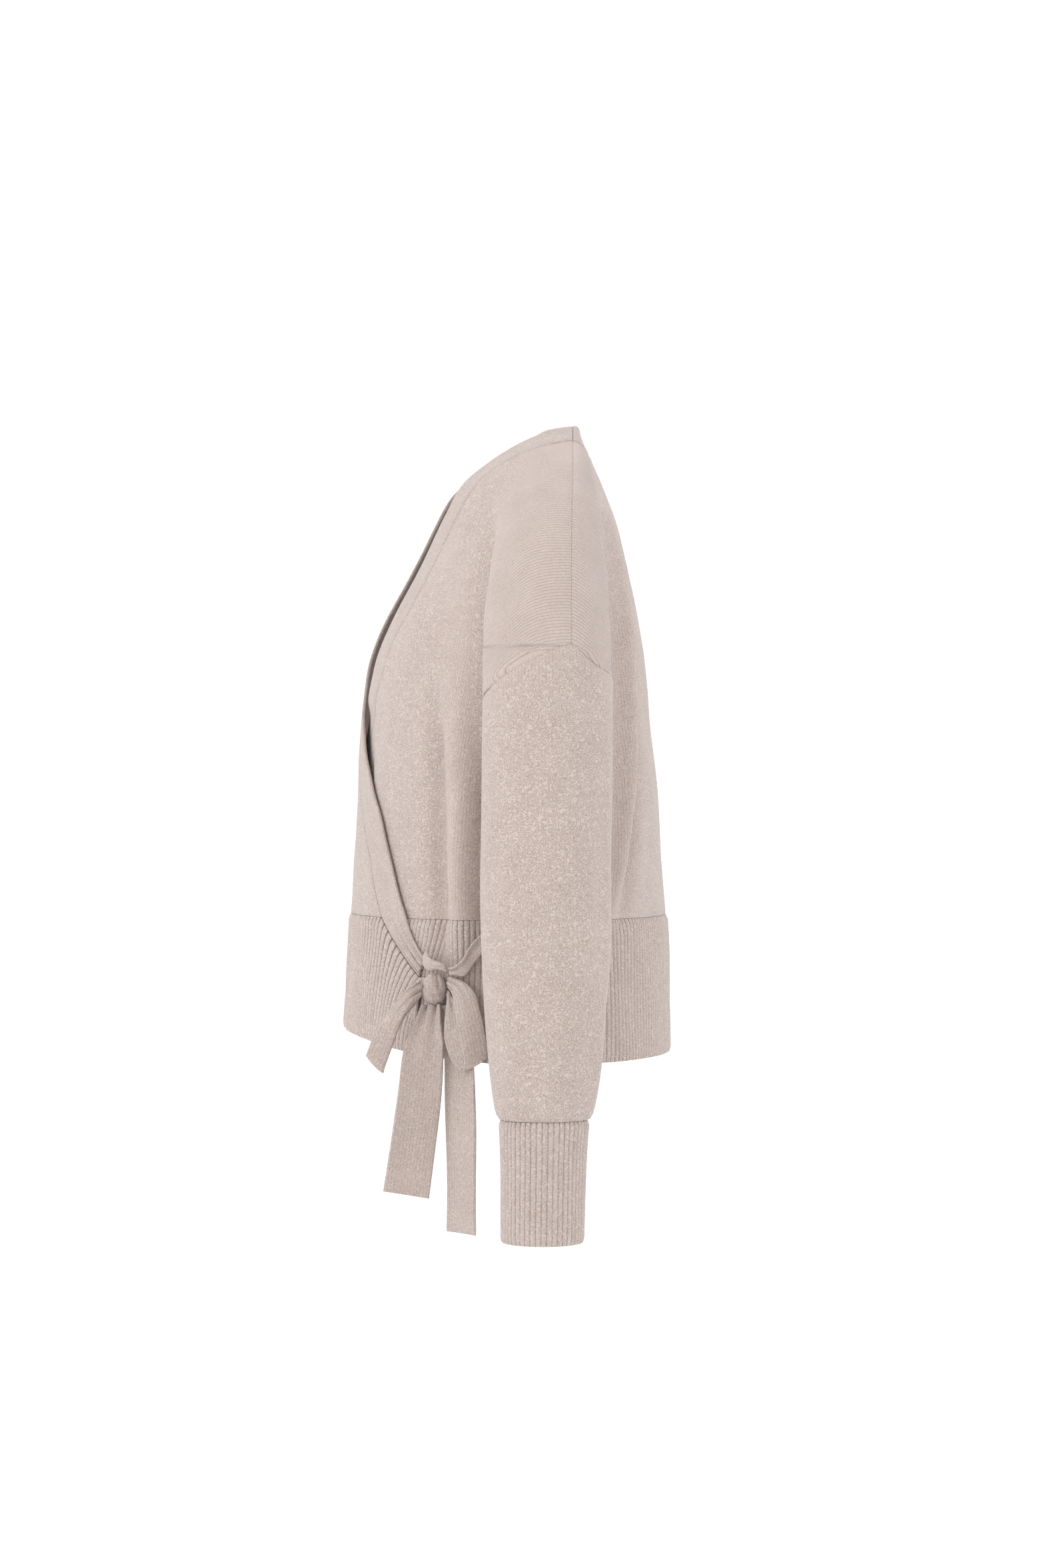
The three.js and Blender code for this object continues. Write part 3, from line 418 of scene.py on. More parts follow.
class BodySurface:
    """Outer face of the body's front or back half, looked up by cloth distance and height."""

    Z_HIGH = 16
    Z_LOW = -546
    Z_STEP = 2
    FINE = 4

    def __init__(self, back):
        self.back = back
        heights = np.arange(self.Z_HIGH, self.Z_LOW - 1, -self.Z_STEP)
        lines = [outline(float(z), back) for z in heights]
        self.groove = np.array([share for _, share in lines])
        coarse = np.stack([points for points, _ in lines], 1)
        self.total = np.linalg.norm(np.diff(coarse, axis=0), axis=2).sum(0)
        self.steps = OUTLINE_STEPS * self.FINE
        places = np.arange(OUTLINE_STEPS + 1)
        fine = curve(places, coarse, np.linspace(0, OUTLINE_STEPS, self.steps + 1))
        self.points = fine.transpose(1, 0, 2)

    def row(self, z):
        place = np.clip((self.Z_HIGH - z) / self.Z_STEP, 0, len(self.total) - 1.001)
        i = place.astype(int)
        return i, place - i

    def reach(self, z):
        """Cloth distance from the centre to the edge of the panel."""
        i, t = self.row(np.asarray(z, float))
        return mix(self.total[i], self.total[i + 1], t)

    def groove_share(self, z):
        i, t = self.row(np.asarray(z, float))
        return mix(self.groove[i], self.groove[i + 1], t)

    def point(self, arc, z):
        arc, z = np.broadcast_arrays(np.asarray(arc, float), np.asarray(z, float))
        i, t = self.row(z)
        place = np.abs(arc) / mix(self.total[i], self.total[i + 1], t) * self.steps
        place = np.clip(place, 0, self.steps - 1e-6)
        j = place.astype(int)
        s = (place - j)[..., None]
        upper = mix(self.points[i, j], self.points[i, j + 1], s)
        lower = mix(self.points[i + 1, j], self.points[i + 1, j + 1], s)
        xy = mix(upper, lower, t[..., None])
        return np.stack([np.where(arc < 0, -xy[..., 0], xy[..., 0]), xy[..., 1], z], -1)

    def normal(self, arc, z, step=2.0):
        """Outward normal of the surface."""
        arc, z = np.broadcast_arrays(np.asarray(arc, float), np.asarray(z, float))
        share = arc / self.reach(z)
        across = self.point(arc + step, z) - self.point(arc - step, z)
        high = self.point(share * self.reach(z + step), z + step)
        low = self.point(share * self.reach(z - step), z - step)
        normal = np.cross(across, high - low)
        normal /= np.linalg.norm(normal, axis=-1, keepdims=True)
        return -normal if self.back else normal


FRONT = BodySurface(False)
BACK = BodySurface(True)


def arc_at_x(x, z):
    """Cloth distance at which the front's surface reaches this x."""
    x, z = np.broadcast_arrays(np.asarray(x, float), np.asarray(z, float))
    i, _ = FRONT.row(z)
    size = np.abs(x)
    place = np.array([
        np.interp(a, np.maximum.accumulate(FRONT.points[r, :, 0]), np.arange(FRONT.steps + 1))
        for a, r in zip(size.ravel(), i.ravel())
    ]).reshape(size.shape)
    return np.sign(x) * FRONT.reach(z) * place / FRONT.steps


def walk(arc, z, direction, distance, steps=6):
    """Walks over the front's surface from each place in a direction."""
    for _ in range(steps):
        along_arc = (FRONT.point(arc + 1, z) - FRONT.point(arc - 1, z)) / 2
        along_z = (FRONT.point(arc, z + 1) - FRONT.point(arc, z - 1)) / 2
        aa = (along_arc * along_arc).sum(-1)
        zz = (along_z * along_z).sum(-1)
        az = (along_arc * along_z).sum(-1)
        b_arc = (along_arc * direction).sum(-1)
        b_z = (along_z * direction).sum(-1)
        det = aa * zz - az * az
        d_arc = (b_arc * zz - b_z * az) / det
        d_z = (b_z * aa - b_arc * az) / det
        moved = np.linalg.norm(along_arc * d_arc[..., None] + along_z * d_z[..., None], axis=-1)
        scale = distance / steps / moved
        arc = arc + d_arc * scale
        z = z + d_z * scale
    return arc, z


def band_width_at(z):
    """The band is gathered where it runs into the knot."""
    return mix(BAND_WIDTH, BAND_END_WIDTH, smooth((BAND_GATHER_START - z) / (BAND_GATHER_START - BAND_END)))


def band_crossing(z, share):
    """Places across the band from the front's free edge, share 0, to its seam, share 1."""
    z, share = np.broadcast_arrays(np.asarray(z, float), np.asarray(share, float))

    def edge(h):
        return FRONT.point(arc_at_x(FRONT_EDGE(h, "x"), h), h)

    arc = arc_at_x(FRONT_EDGE(z, "x"), z)
    tangent = edge(z - 2) - edge(z + 2)
    tangent /= np.linalg.norm(tangent, axis=-1, keepdims=True)
    inwards = -np.cross(tangent, FRONT.normal(arc, z))
    drawn = (BAND_DRAWN * smooth((BAND_DRAWN_START - z) / (BAND_DRAWN_START - BAND_END)))[..., None]
    direction = inwards * (1 - drawn) + tangent * drawn
    return walk(arc, z, direction, band_width_at(z) * np.maximum(share, 1e-6))


BAND_STATIONS = np.array([
    12, 7, 0, -10, -22, -36, -52, -70, -90, -112, -136, -160, -182, -202, -220, -238, -256, -276, -298, -322,
    -346, -370, -394, -412, -427, -439, -450,
], float)


def band_seam_rows():
    arcs, heights = band_crossing(BAND_STATIONS, 1.0)
    rows = [(0.0, float(FRONT.reach(0)))]
    for arc, height in zip(arcs, heights):
        if height < rows[-1][0] - 2:
            rows.append((float(height), float(arc)))
    return rows


SEAM_ROWS = band_seam_rows()
BAND_SEAM = Table("z arc", *SEAM_ROWS)
SEAM_BY_ARC = Table("arc z", *[(arc, height) for height, arc in SEAM_ROWS])


def seam_arc(z):
    return BAND_SEAM(z, "arc")


def layer_offset(side, x, z):
    """How far a front lies off the body's surface, so that the right one passes over the left one."""
    over = smooth((x - LAP_START) / LAP_WIDTH)
    if side < 0:
        return LAYER * over * smooth((LAP_TOP - z) / LAP_DEPTH)
    # the left front sinks a little more where the right band crosses it
    across = smooth((62 - x) / 16) * smooth((x + 40) / 40)
    along = smooth((-222 - z) / 20) * smooth((z + 320) / 25)
    return -LAYER * (1 - over) - CROSSING_DIP * (across * along)


def crease_rise(name, across, z):
    """Height of a piece's own soft ridges and troughs."""
    rise = np.zeros(np.broadcast(across, z).shape)
    for crease in CREASES.get(name, []):
        low, high = crease.ends
        inside = (z >= low) & (z <= high)
        away = (across - crease(z, "across")) / crease(z, "width")
        rise += np.where(inside, crease(z, "rise") * np.exp(-away * away), 0)
    return rise


def unevenness(across, z, seed, height=0.55):
    """Slight unevenness of hanging cloth: a few long waves, mostly upright."""
    random = np.random.default_rng(SEED + seed)
    waves = 7
    total = 0
    for _ in range(waves):
        length = random.uniform(38, 105)
        lean = random.uniform(-0.5, 0.5)
        phase = random.uniform(0, 2 * math.pi)
        total = total + np.sin(2 * math.pi * (across * math.cos(lean) + z * math.sin(lean)) / length + phase)
    return height * total / math.sqrt(waves)


def front_point(side, arc, z, rise=0.0):
    """Point of a front on its outer face, with arcs on its own side; rise lifts it off."""
    point = FRONT.point(arc, z)
    normal = FRONT.normal(arc, z)
    offset = layer_offset(side, point[..., 0] * side, z) + rise
    point = point + normal * offset[..., None]
    point[..., 0] *= side
    return point


def back_point(arc, z, rise=0.0):
    rise = np.broadcast_to(rise, np.broadcast(arc, z).shape)
    return BACK.point(arc, z) + BACK.normal(arc, z) * rise[..., None]


def groove_arc(z, surface):
    share = np.minimum(surface.groove_share(z), 0.985)
    side = mix(0.985, 0.7, smooth((UNDERARM - z) / 70))
    return surface.reach(z) * np.where(z > UNDERARM, share, side)


GROOVE_COLUMN = 0.58


def column_arc(t, inner, z, surface):
    """Cloth distance of a column: some lie between the inner edge and the groove, the rest past it."""
    reach = surface.reach(z)
    groove = np.maximum(groove_arc(z, surface), mix(inner, reach, GROOVE_COLUMN))
    near = mix(inner, groove, t / GROOVE_COLUMN)
    far = mix(groove, reach, (t - GROOVE_COLUMN) / (1 - GROOVE_COLUMN))
    return np.where(t < GROOVE_COLUMN, near, far)


def tube_point(table, angle, z, rise, side, clear=False):
    """Point of a sleeve or cuff with oval sections; clear keeps it off the torso."""
    half_x = table(z, "halfX")
    half_y = table(z, "halfY")
    normal = np.stack([half_y * np.cos(angle), half_x * np.sin(angle)], -1)
    normal /= np.linalg.norm(normal, axis=-1, keepdims=True)
    swing = RIGHT_ARM_SWING * smooth((UNDERARM - z) / (UNDERARM - CUFF_TOP)) if side < 0 else 0
    x = table(z, "x") + half_x * np.cos(angle)
    y = table(z, "y") + half_y * np.sin(angle) + swing
    if clear:
        mid = BODY(z, "mid")
        depth = np.where(y < mid, BODY(z, "front"), BODY(z, "back")) - mid
        across = np.maximum(1 - ((y - mid) / depth) ** 2, 0)
        x = np.maximum(x, np.where(across > 0, BODY(z, "half") * np.sqrt(across) + SLEEVE_CLEARANCE, 0))
    x = x + normal[..., 0] * rise
    y = y + normal[..., 1] * rise
    return np.stack([side * x, y, z + 0 * angle], -1)


# Length of the shoulder seam from the neck down to each height
SEAM_HEIGHTS = np.linspace(16, -190, 207)
SEAM_LENGTHS = runs(np.stack(
    [BODY(SEAM_HEIGHTS, "shoulder"), shoulder_seam_y(SEAM_HEIGHTS), SEAM_HEIGHTS], -1))


def shoulder_run(z):
    return float(BODY(16, "shoulder")) + np.interp(-np.asarray(z), -SEAM_HEIGHTS, SEAM_LENGTHS)


def wale_coordinate(arc, z, surface):
    """Number in millimetres that stays the same along each column of stitches: upright below the
    chest, turning over the arm to meet the shoulder seam."""
    reach = surface.reach(z)
    size = np.abs(arc)
    groove = np.minimum(groove_arc(z, surface), reach - 1)
    turn = smooth((size - groove) / (reach - groove)) * smooth((z + 262) / 60)
    most = 0.55 if surface.back else 1.0
    return mix(size, shoulder_run(z), turn * most), turn


# Meshes

def spaced(start, stop, step, fine=(0.2, 0.7)):
    """Places from start to stop about a step apart, with a few close to each end for its rounding."""
    length = abs(stop - start)
    ends = np.array((0.0,) + fine)
    margin = ends[-1] * 2.2
    inner = np.linspace(margin, length - margin, max(int(length / step), 2) + 1)
    places = np.concatenate([ends, inner, length - ends[::-1]])
    return start + math.copysign(1, stop - start) * places


def line_distance(grid, axis):
    steps = np.linalg.norm(np.diff(grid, axis=axis), axis=2)
    lead = np.zeros_like(np.take(steps, [0], axis))
    return np.concatenate([lead, np.cumsum(steps, axis)], axis)


def shell(name, middle, thickness, flat, masks=None, ring=False, edge_round=0.5):
    """Closed sheet of cloth round a grid of middle points in millimetres. Its edges are rounded over
    this share of its thickness. flat holds the knit's own coordinates, with one more column on a ring."""
    rows, columns = middle.shape[:2]
    grid = np.concatenate([middle[:, -1:], middle, middle[:, :1]], 1) if ring else middle
    normal = np.cross(np.gradient(grid, axis=1), np.gradient(grid, axis=0))
    normal /= np.maximum(np.linalg.norm(normal, axis=2, keepdims=True), 1e-9)
    if ring:
        normal = normal[:, 1:-1]
    down = line_distance(middle, 0)
    edge = np.minimum(down, down[-1] - down)
    edge[0] = 0
    edge[-1] = 0
    if not ring:
        across = line_distance(middle, 1)
        edge = np.minimum(edge, np.minimum(across, across[:, -1:] - across))
        edge[:, 0] = 0
        edge[:, -1] = 0
    rounded = np.clip(edge / (thickness * edge_round), 0, 1)
    half = thickness / 2 * np.sqrt(1 - (1 - rounded) ** 2)
    outer = (middle + normal * half[..., None]).reshape(-1, 3)
    inner = (middle - normal * half[..., None]).reshape(-1, 3)
    inside = edge.ravel() > 0
    outer_index = np.arange(rows * columns)
    inner_index = np.where(inside, rows * columns + np.cumsum(inside) - 1, outer_index)
    points = np.concatenate([outer, inner[inside]])
    i, j = np.meshgrid(np.arange(rows - 1), np.arange(columns if ring else columns - 1), indexing="ij")
    corners = [(i, j), (i, j + 1), (i + 1, j + 1), (i + 1, j)]
    place = np.stack([(a * columns + b % columns).ravel() for a, b in corners], -1)
    flat_place = np.stack([(a * flat.shape[1] + b).ravel() for a, b in corners], -1)
    faces = np.concatenate([outer_index[place], inner_index[place][:, ::-1]])
    flats = flat.reshape(-1, 2)[np.concatenate([flat_place, flat_place[:, ::-1]])]
    a, b, c, d = (points[faces[:, k]] for k in range(4))
    volume = (np.cross(b - a, c - a) * a + np.cross(c - a, d - a) * a).sum()
    if volume < 0:
        faces = faces[:, ::-1]
        flats = flats[:, ::-1]
    values = {}
    for mask, grid_values in (masks or {}).items():
        spread = np.broadcast_to(grid_values, (rows, columns)).ravel()
        values[mask] = np.concatenate([spread, spread[inside]])
    return make_object(name, points, faces.tolist(), flats, values)


def make_object(name, points, faces, flats, masks):
    mesh = bpy.data.meshes.new(name)
    mesh.from_pydata((points * MM).tolist(), [], faces)
    layer = mesh.uv_layers.new(name="Knit")
    layer.data.foreach_set("uv", np.ascontiguousarray(flats, np.float32).ravel())
    for mask, values in masks.items():
        attribute = mesh.attributes.new(mask, "FLOAT", "POINT")
        attribute.data.foreach_set("value", np.ascontiguousarray(values, np.float32))
    mesh.shade_smooth()
    piece = bpy.data.objects.new(name, mesh)
    bpy.context.scene.collection.objects.link(piece)
    return piece


def place_piece(piece, material, nodes):
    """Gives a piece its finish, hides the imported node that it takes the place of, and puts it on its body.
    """
    piece.data.materials.append(material)
    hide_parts(*nodes)
    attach(piece, "root")


# Share of the thickness over which a panel's edge is rounded, so that it lies close to its neighbour
PANEL_EDGE_ROUND = 0.15
HEM_EDGE_ROUND = 0.2


def seam_dip(distance, depth=0.9):
    """Cloth rolls in towards a seam and swells a little beside it."""
    return -depth * np.exp(-(distance / 2.1) ** 2) + 0.28 * depth * np.exp(-((distance - 5) / 2.6) ** 2)


def body_unevenness(side, arc, z, surface):
    """The same soft waves on a panel, its rib and its band, fading out at the side seam."""
    fade = smooth((surface.reach(z) - np.abs(arc)) / 28)
    return unevenness(side * arc, z, 1 if surface.back else 2) * fade


def panel_heights(low, high):
    steep = -110
    lower = spaced(low, steep, 3.3)[:-3]
    upper = spaced(0, 1, 1 / 58, (0.004, 0.01))
    return np.concatenate([lower, mix(steep, high, upper)])


def front_panel(side, name, thickness):
    z = panel_heights(HEM_TOP, PANEL_TOP)[:, None]
    t = (spaced(0, 300, 3.1) / 300)[None, :]
    inner = seam_arc(z)
    arc = column_arc(t, inner + 0.1, z, FRONT)
    reach = FRONT.reach(z)
    z = z + 0 * arc
    rise = crease_rise(name, side * arc, z) + body_unevenness(side, arc, z, FRONT)
    rise += seam_dip(reach - arc, 0.7) + seam_dip(arc - inner, 0.7) + seam_dip(z - HEM_TOP, 0.12)
    middle = front_point(side, arc, z, rise - thickness / 2)
    across, turn = wale_coordinate(arc, z, FRONT)
    along = mix(z, -arc, turn)
    ridge = 0.6 * np.exp(-((middle[..., 1] + 114) / 15) ** 2) * smooth((-60 - z) / 40)
    wales = np.maximum(0.12 + 0.88 * smooth(turn * 2.4), ridge)
    flat = np.stack([side * across, along], -1)
    return shell(name, middle, thickness, flat, {"wales": wales}, edge_round=PANEL_EDGE_ROUND)


def back_panel(name, thickness):
    even = panel_heights(HEM_TOP, BACK_TOP)[:, None]
    t = (spaced(-300, 300, 3.6) / 300)[None, :]
    lifted = np.clip((even - NECK_ROWS_START) / (BACK_TOP - NECK_ROWS_START), 0, 1)
    z = even
    for _ in range(4):
        share = column_arc(np.abs(t), 0, z, BACK) / BACK.reach(z)
        z = even - (BACK_NECK_DROP + BACK_TOP) * lifted * (1 - share * share)
    arc = np.sign(t) * column_arc(np.abs(t), 0, z, BACK)
    rise = crease_rise(name, arc, z) + body_unevenness(1, arc, z, BACK)
    top = z[-1:, :]
    rise += seam_dip(BACK.reach(z) - np.abs(arc), 0.7) + seam_dip(z - HEM_TOP, 0.25)
    rise += seam_dip((top - z) * 1.6, 0.7)
    middle = back_point(arc, z, rise - thickness / 2)
    across, turn = wale_coordinate(arc, z, BACK)
    along = mix(z, np.abs(arc), turn)
    fold = 0.6 * smooth((middle[..., 1] + 30) / 40) * smooth((60 - middle[..., 1]) / 15)
    wales = np.maximum(0.12 + 0.88 * smooth(turn * 2.4), fold * smooth((-40 - z) / 40))
    flat = np.stack([np.sign(t) * across, along], -1)
    return shell(name, middle, thickness, flat, {"wales": wales}, edge_round=PANEL_EDGE_ROUND)


def front_band(side, name, thickness):
    share = (spaced(0, BAND_WIDTH, 2.8) / BAND_WIDTH)[None, :]
    stations = BAND_STATIONS if side < 0 else BAND_STATIONS[BAND_STATIONS > UNDER_BAND_END]
    arcs, heights = band_crossing(stations[:, None], share)
    shoulder = mix(NECK_TOP, 0, share)
    arcs = np.concatenate([FRONT.reach(shoulder) - 0.3, arcs])
    heights = np.concatenate([shoulder, heights])
    last = len(stations)
    inner_rows = np.linspace(0.2, last - 0.1, last * 5)
    rows = np.concatenate([[0, 0.02, 0.07], inner_rows, [last - 0.06, last - 0.02, last]])
    grid = curve(np.arange(last + 1), np.stack([arcs, heights], -1), rows)
    arc, z = grid[..., 0], grid[..., 1]
    width = share * BAND_WIDTH
    rise = seam_dip(BAND_WIDTH - width, 0.9) + body_unevenness(side, arc, z, FRONT)
    rise += 0.35 * np.sin(np.clip(width / 9, 0, 1) * math.pi)
    if side < 0:
        gather = smooth((-395 - z) / 50)
        rise = rise + gather * 1.3 * np.cos(width * (2 * math.pi / 13)) * smooth(width / 5)
    middle = front_point(side, arc, z, rise - thickness / 2)
    flat = np.stack([width + 0 * z, line_distance(middle, 0)], -1)
    return shell(name, middle, thickness, flat, {"wales": 0.5})


def back_neck_band(name, thickness):
    share = (spaced(-90, 90, 3) / 90)[None, :]
    t = (spaced(0, NECK_TOP + BACK_NECK_DROP, 2.6) / (NECK_TOP + BACK_NECK_DROP))[:, None]
    z = mix(NECK_TOP, -BACK_NECK_DROP * (1 - share * share), t)
    arc = share * BACK.reach(z)
    width = t * BAND_WIDTH
    rise = seam_dip(BAND_WIDTH - width, 0.9) + 0.35 * np.sin(np.clip(width / 9, 0, 1) * math.pi)
    middle = back_point(arc, z, rise + 0 * arc - thickness / 2)
    return shell(name, middle, thickness, np.stack([width + 0 * arc, arc], -1), {"wales": 0.5})


RIB_SAMPLES = np.array([0, 0.1, 0.22, 0.36, 0.5, 0.64, 0.78, 0.9])


def rib_profile(turns):
    """Round knit columns with narrow furrows between them; one column for each turn."""
    away = np.abs(2 * (turns % 1) - 1)
    return 1 - away ** 2.6


def rib_places(count):
    turns = (np.arange(count)[:, None] + RIB_SAMPLES).ravel()
    return np.concatenate([[0, 0.03], turns[1:], [count - 0.03, count]])


def rib_rise(turns, to_seam, to_edge, relief):
    fade = mix(0.3, 1, smooth(to_seam / 5)) * mix(0.55, 1, smooth(to_edge / 5))
    return -0.2 + relief * rib_profile(turns) * fade + seam_dip(to_seam, 0.25)


# Towards the knot the ribs of the right front lean: their upper ends are drawn to it
FAN_LEAN = 24
FAN_START = -62
FAN_END = -158


def front_hem(side, name, thickness, relief):
    end = float(FRONT.reach(HEM_TOP))
    far = float(seam_arc(HEM_TOP)) if side > 0 else -RIB_END
    count = 2 * round((end - far) / HEM_RIB_PITCH / 2)
    turns = rib_places(count)[None, :]
    arc = mix(end, far, turns / count)
    v = (spaced(0, 110, 3.8) / 110)[:, None]
    lean = 0.0
    if side < 0:
        lean = FAN_LEAN * smooth((FAN_START - arc) / 70) * smooth((arc + RIB_END) / (RIB_END + FAN_END))
    leant = arc - lean * v ** 2
    arc_top = arc - lean
    bottom = mix(HEM_FRONT, HEM_SIDE, smooth(np.abs(arc) / end))
    seam_low_z, seam_low_arc = SEAM_ROWS[-1]
    seam_top = np.where(arc_top < seam_low_arc, seam_low_z, SEAM_BY_ARC(arc_top, "z"))
    top = np.minimum(HEM_TOP, seam_top - 0.5)
    z = mix(bottom, top, v)
    height = top - bottom
    rise = rib_rise(turns, height * (1 - v), height * v, relief) + body_unevenness(side, leant, z, FRONT)
    rise += crease_rise(name.replace("_hem_rib", ""), side * leant, z)
    place = np.where(leant > 0, leant * FRONT.reach(z) / end, leant)
    middle = front_point(side, place, z, rise - thickness / 2)
    flat = np.stack([turns + 0 * z, z], -1)
    # The furrow mask marks where the rib material paints shade between the ribs
    return shell(name, middle, thickness, flat, {"wales": 0.2, "furrow": 1 - rib_profile(turns)},
                 edge_round=HEM_EDGE_ROUND)


def back_hem(name, thickness, relief):
    end = float(BACK.reach(HEM_TOP))
    count = 2 * round(2 * end / HEM_RIB_PITCH / 2)
    turns = rib_places(count)[None, :]
    arc = mix(-end, end, turns / count)
    v = (spaced(0, 120, 3.8) / 120)[:, None]
    bottom = mix(HEM_BACK, HEM_SIDE, smooth(np.abs(arc) / end))
    z = mix(bottom, HEM_TOP, v)
    height = HEM_TOP - bottom
    rise = rib_rise(turns, height * (1 - v), height * v, relief) + body_unevenness(1, arc, z, BACK)
    middle = back_point(arc * BACK.reach(z) / end, z, rise - thickness / 2)
    flat = np.stack([turns + 0 * z, z], -1)
    # The furrow mask marks where the rib material paints shade between the ribs
    return shell(name, middle, thickness, flat, {"wales": 0.2, "furrow": 1 - rib_profile(turns)},
                 edge_round=HEM_EDGE_ROUND)


def sleeve(side, name, thickness):
    count = 112
    degrees = np.linspace(-180, 180, count + 1)[None, :]
    v = (spaced(0, 372, 3.3) / 372)[:, None]
    top = seam_height(degrees) - 0.2
    z = mix(top, CUFF_TOP, v)
    rise = crease_rise(name, degrees, z) + unevenness(degrees * 0.95, z, 5 + side, 0.5)
    fade = smooth((180 - np.abs(degrees)) / 30)
    rise = rise * fade + seam_dip(top - z, 1.0) + seam_dip(z - CUFF_TOP, 1.0)
    gathers = 0.5 * np.cos(np.radians(degrees) * 17) * smooth((z + 600) / 30) * np.exp(-(z - CUFF_TOP) / 14)
    angle = np.radians(degrees)
    points = tube_point(ARM, angle, z, rise + gathers * fade - thickness / 2, side, clear=True)
    flat = np.stack([angle * 52 + 0 * z, z], -1)
    wales = 0.15 + 0.35 * smooth((z - top + 22) / 16)
    return shell(name, points[:, :-1], thickness, flat, {"wales": wales[:, :-1]}, ring=True, edge_round=0.4)


def cuff(side, name, thickness, relief):
    turns = np.concatenate([(np.arange(CUFF_RIBS)[:, None] + RIB_SAMPLES).ravel(), [CUFF_RIBS]])[None, :]
    angle = 2 * math.pi * turns / CUFF_RIBS
    z = spaced(CUFF_TOP, CUFF_END, 3.6)[:, None]
    rise = rib_rise(turns, CUFF_TOP - z, z - CUFF_END, relief)
    rise = rise + 0.5 * np.sin(2 * angle + 0.6 + z / 60) * smooth((CUFF_TOP - z) / 20)
    points = tube_point(CUFF, angle, z, rise - thickness / 2, side)
    # The furrow mask marks where the rib material paints shade between the ribs
    furrow = (1 - rib_profile(turns))[:, :-1]
    flat = np.stack([turns + 0 * z, z + 0 * turns], -1)
    return shell(name, points[:, :-1], thickness, flat, {"wales": 0.2, "furrow": furrow}, ring=True)


# The bow at the left hip. Places round the knot are across (backwards along the hip), up, and out
# from the body; the last three numbers are half of the ribbon's width in the same directions.
KNOT = np.array([185.0, -135.0, -474.5])
HIP_TURN = math.radians(5)
HIP = np.array([
    [math.sin(HIP_TURN), math.cos(HIP_TURN), 0],
    [0, 0, 1],
    [math.cos(HIP_TURN), -math.sin(HIP_TURN), 0],
])
RIBBONS = {
    "loop_front": [
        (-10.5, 1, 3, -0.7, -7.9, 0),
        (-20, -5.5, 9.5, 1.7, -7.1, 1),
        (-28.5, -15.5, 12, 3.6, -5.8, 1.5),
        (-35.7, -27.5, 11.5, 5.7, -4.6, 1.5),
        (-42.8, -42.2, 9.5, 7.1, -5.6, 1),
        (-49.3, -59.5, 6.5, 6.9, -7.9, 0.5),
        (-50.8, -63.8, 3.2, 6.8, -8.2, 0),
        (-49, -59.5, 0.2, 6.9, -7.9, 0),
        (-42, -42.5, -1, 7, -5.6, 0),
        (-34.5, -28, -0.8, 5.2, -4.6, 0),
        (-26.5, -16.5, -0.5, 3.6, -5, 0),
        (-18, -8, -1, 2, -5, 0),
        (-13, -3, -2.5, 0, -4.5, 0),
    ],
    "loop_back": [
        (11.8, 6.4, 4, 0.9, 4.3, 0),
        (20.4, 2, 15, 5.7, 4.6, 1),
        (26, -6.3, 24.5, 9.1, 4, 2),
        (28.8, -18.1, 29, 10.2, 2.3, 2),
        (31.9, -32, 31, 10.5, 2, 1),
        (34.6, -46.2, 31, 10.1, 2, 0),
        (35.6, -57, 29, 9.6, 2.6, 0),
        (34, -63.6, 25, 9.9, 4.8, 2),
        (27, -58, 22, 11, 3, 3.5),
        (22, -44.2, 16, 12, 1, 7),
        (20, -32.3, 15.2, 10.6, 0, 5),
        (18.6, -18.7, 11.2, 8.2, -0.5, 4),
        (15.7, -8.8, 9.3, 3.8, -1, 2),
        (11.6, -4.2, 4.2, 1.3, -2.8, 0.5),
    ],
    "tail_front": [
        (-2, -13.4, 1.6, 8, 0, 2),
        (-4.5, -27, 5, 11, -1, 1.5),
        (-8.5, -51.5, 8.5, 17, -1, 1),
        (-12, -90.5, 10, 18.5, -2, 1),
        (-18, -135.5, 9, 19, -3, 0),
        (-23.5, -174.5, 9, 19.5, -3, 0),
    ],
    "tail_back": [
        (8.5, -13.6, -1.5, 4, 0, 4.5),
        (14, -25, 2, 8, 0, 5.5),
        (21, -52, 9, 12, 0, 8),
        (23, -95.5, 13.5, 12.5, 0, 12),
        (24, -145.5, 14, 12.5, 0, 13),
        (24, -206.5, 14, 12.5, -0.5, 13),
    ],
    "side_tie": [
        (78, 50.5, 19.1, 0, 12, 0),
        (58, 47, 17.5, -1, 10.5, 0),
        (42, 40, 14.5, -3, 6, 0),
        (32, 29, 14, -3, 5.5, 1),
        (25.5, 19, 13.5, -1, 7, 1),
        (19, 16.4, 11.5, 0, 4.2, 1),
        (13.5, 15.4, 9, 0, 3.3, 1),
    ],
    "knot_wrap": [
        (-9.5, 29, -16.1, 2, 6, 2),
        (-7.5, 24, -8, 1.5, 6, 1.5),
        (-4, 21, 0, 1, 4.8, 0.5),
        (1, 20.6, 5, 0.3, 3.6, 0),
        (6, 19.8, 7.5, -0.6, 3.4, 0),
        (10.8, 17.8, 7.5, -1, 3.6, 0),
    ],
}

# How a ribbon is shaped: curl rolls its edges in; gathers are creases that fade away from the knot
# (and from the far end too, on a loop), folds their number across the width, start the row it begins at
RIBBON_SHAPE = {
    "loop_front": {"curl": 1.2, "gathers": 1.3, "folds": 2.5, "both_ends": True},
    "loop_back": {"curl": 1.4, "gathers": 1.3, "folds": 2.5, "both_ends": True},
    "tail_front": {"curl": -1.2, "gathers": 3.2, "folds": 2.0, "both_ends": False},
    "tail_back": {"curl": -0.8, "gathers": 2.4, "folds": 2.0, "both_ends": False},
    "side_tie": {"curl": 1.5, "gathers": 1.0, "folds": 1.5, "both_ends": True},
    "knot_wrap": {"curl": 1.2, "gathers": 0.3, "folds": 1.5, "both_ends": False, "start": 0.4},
}


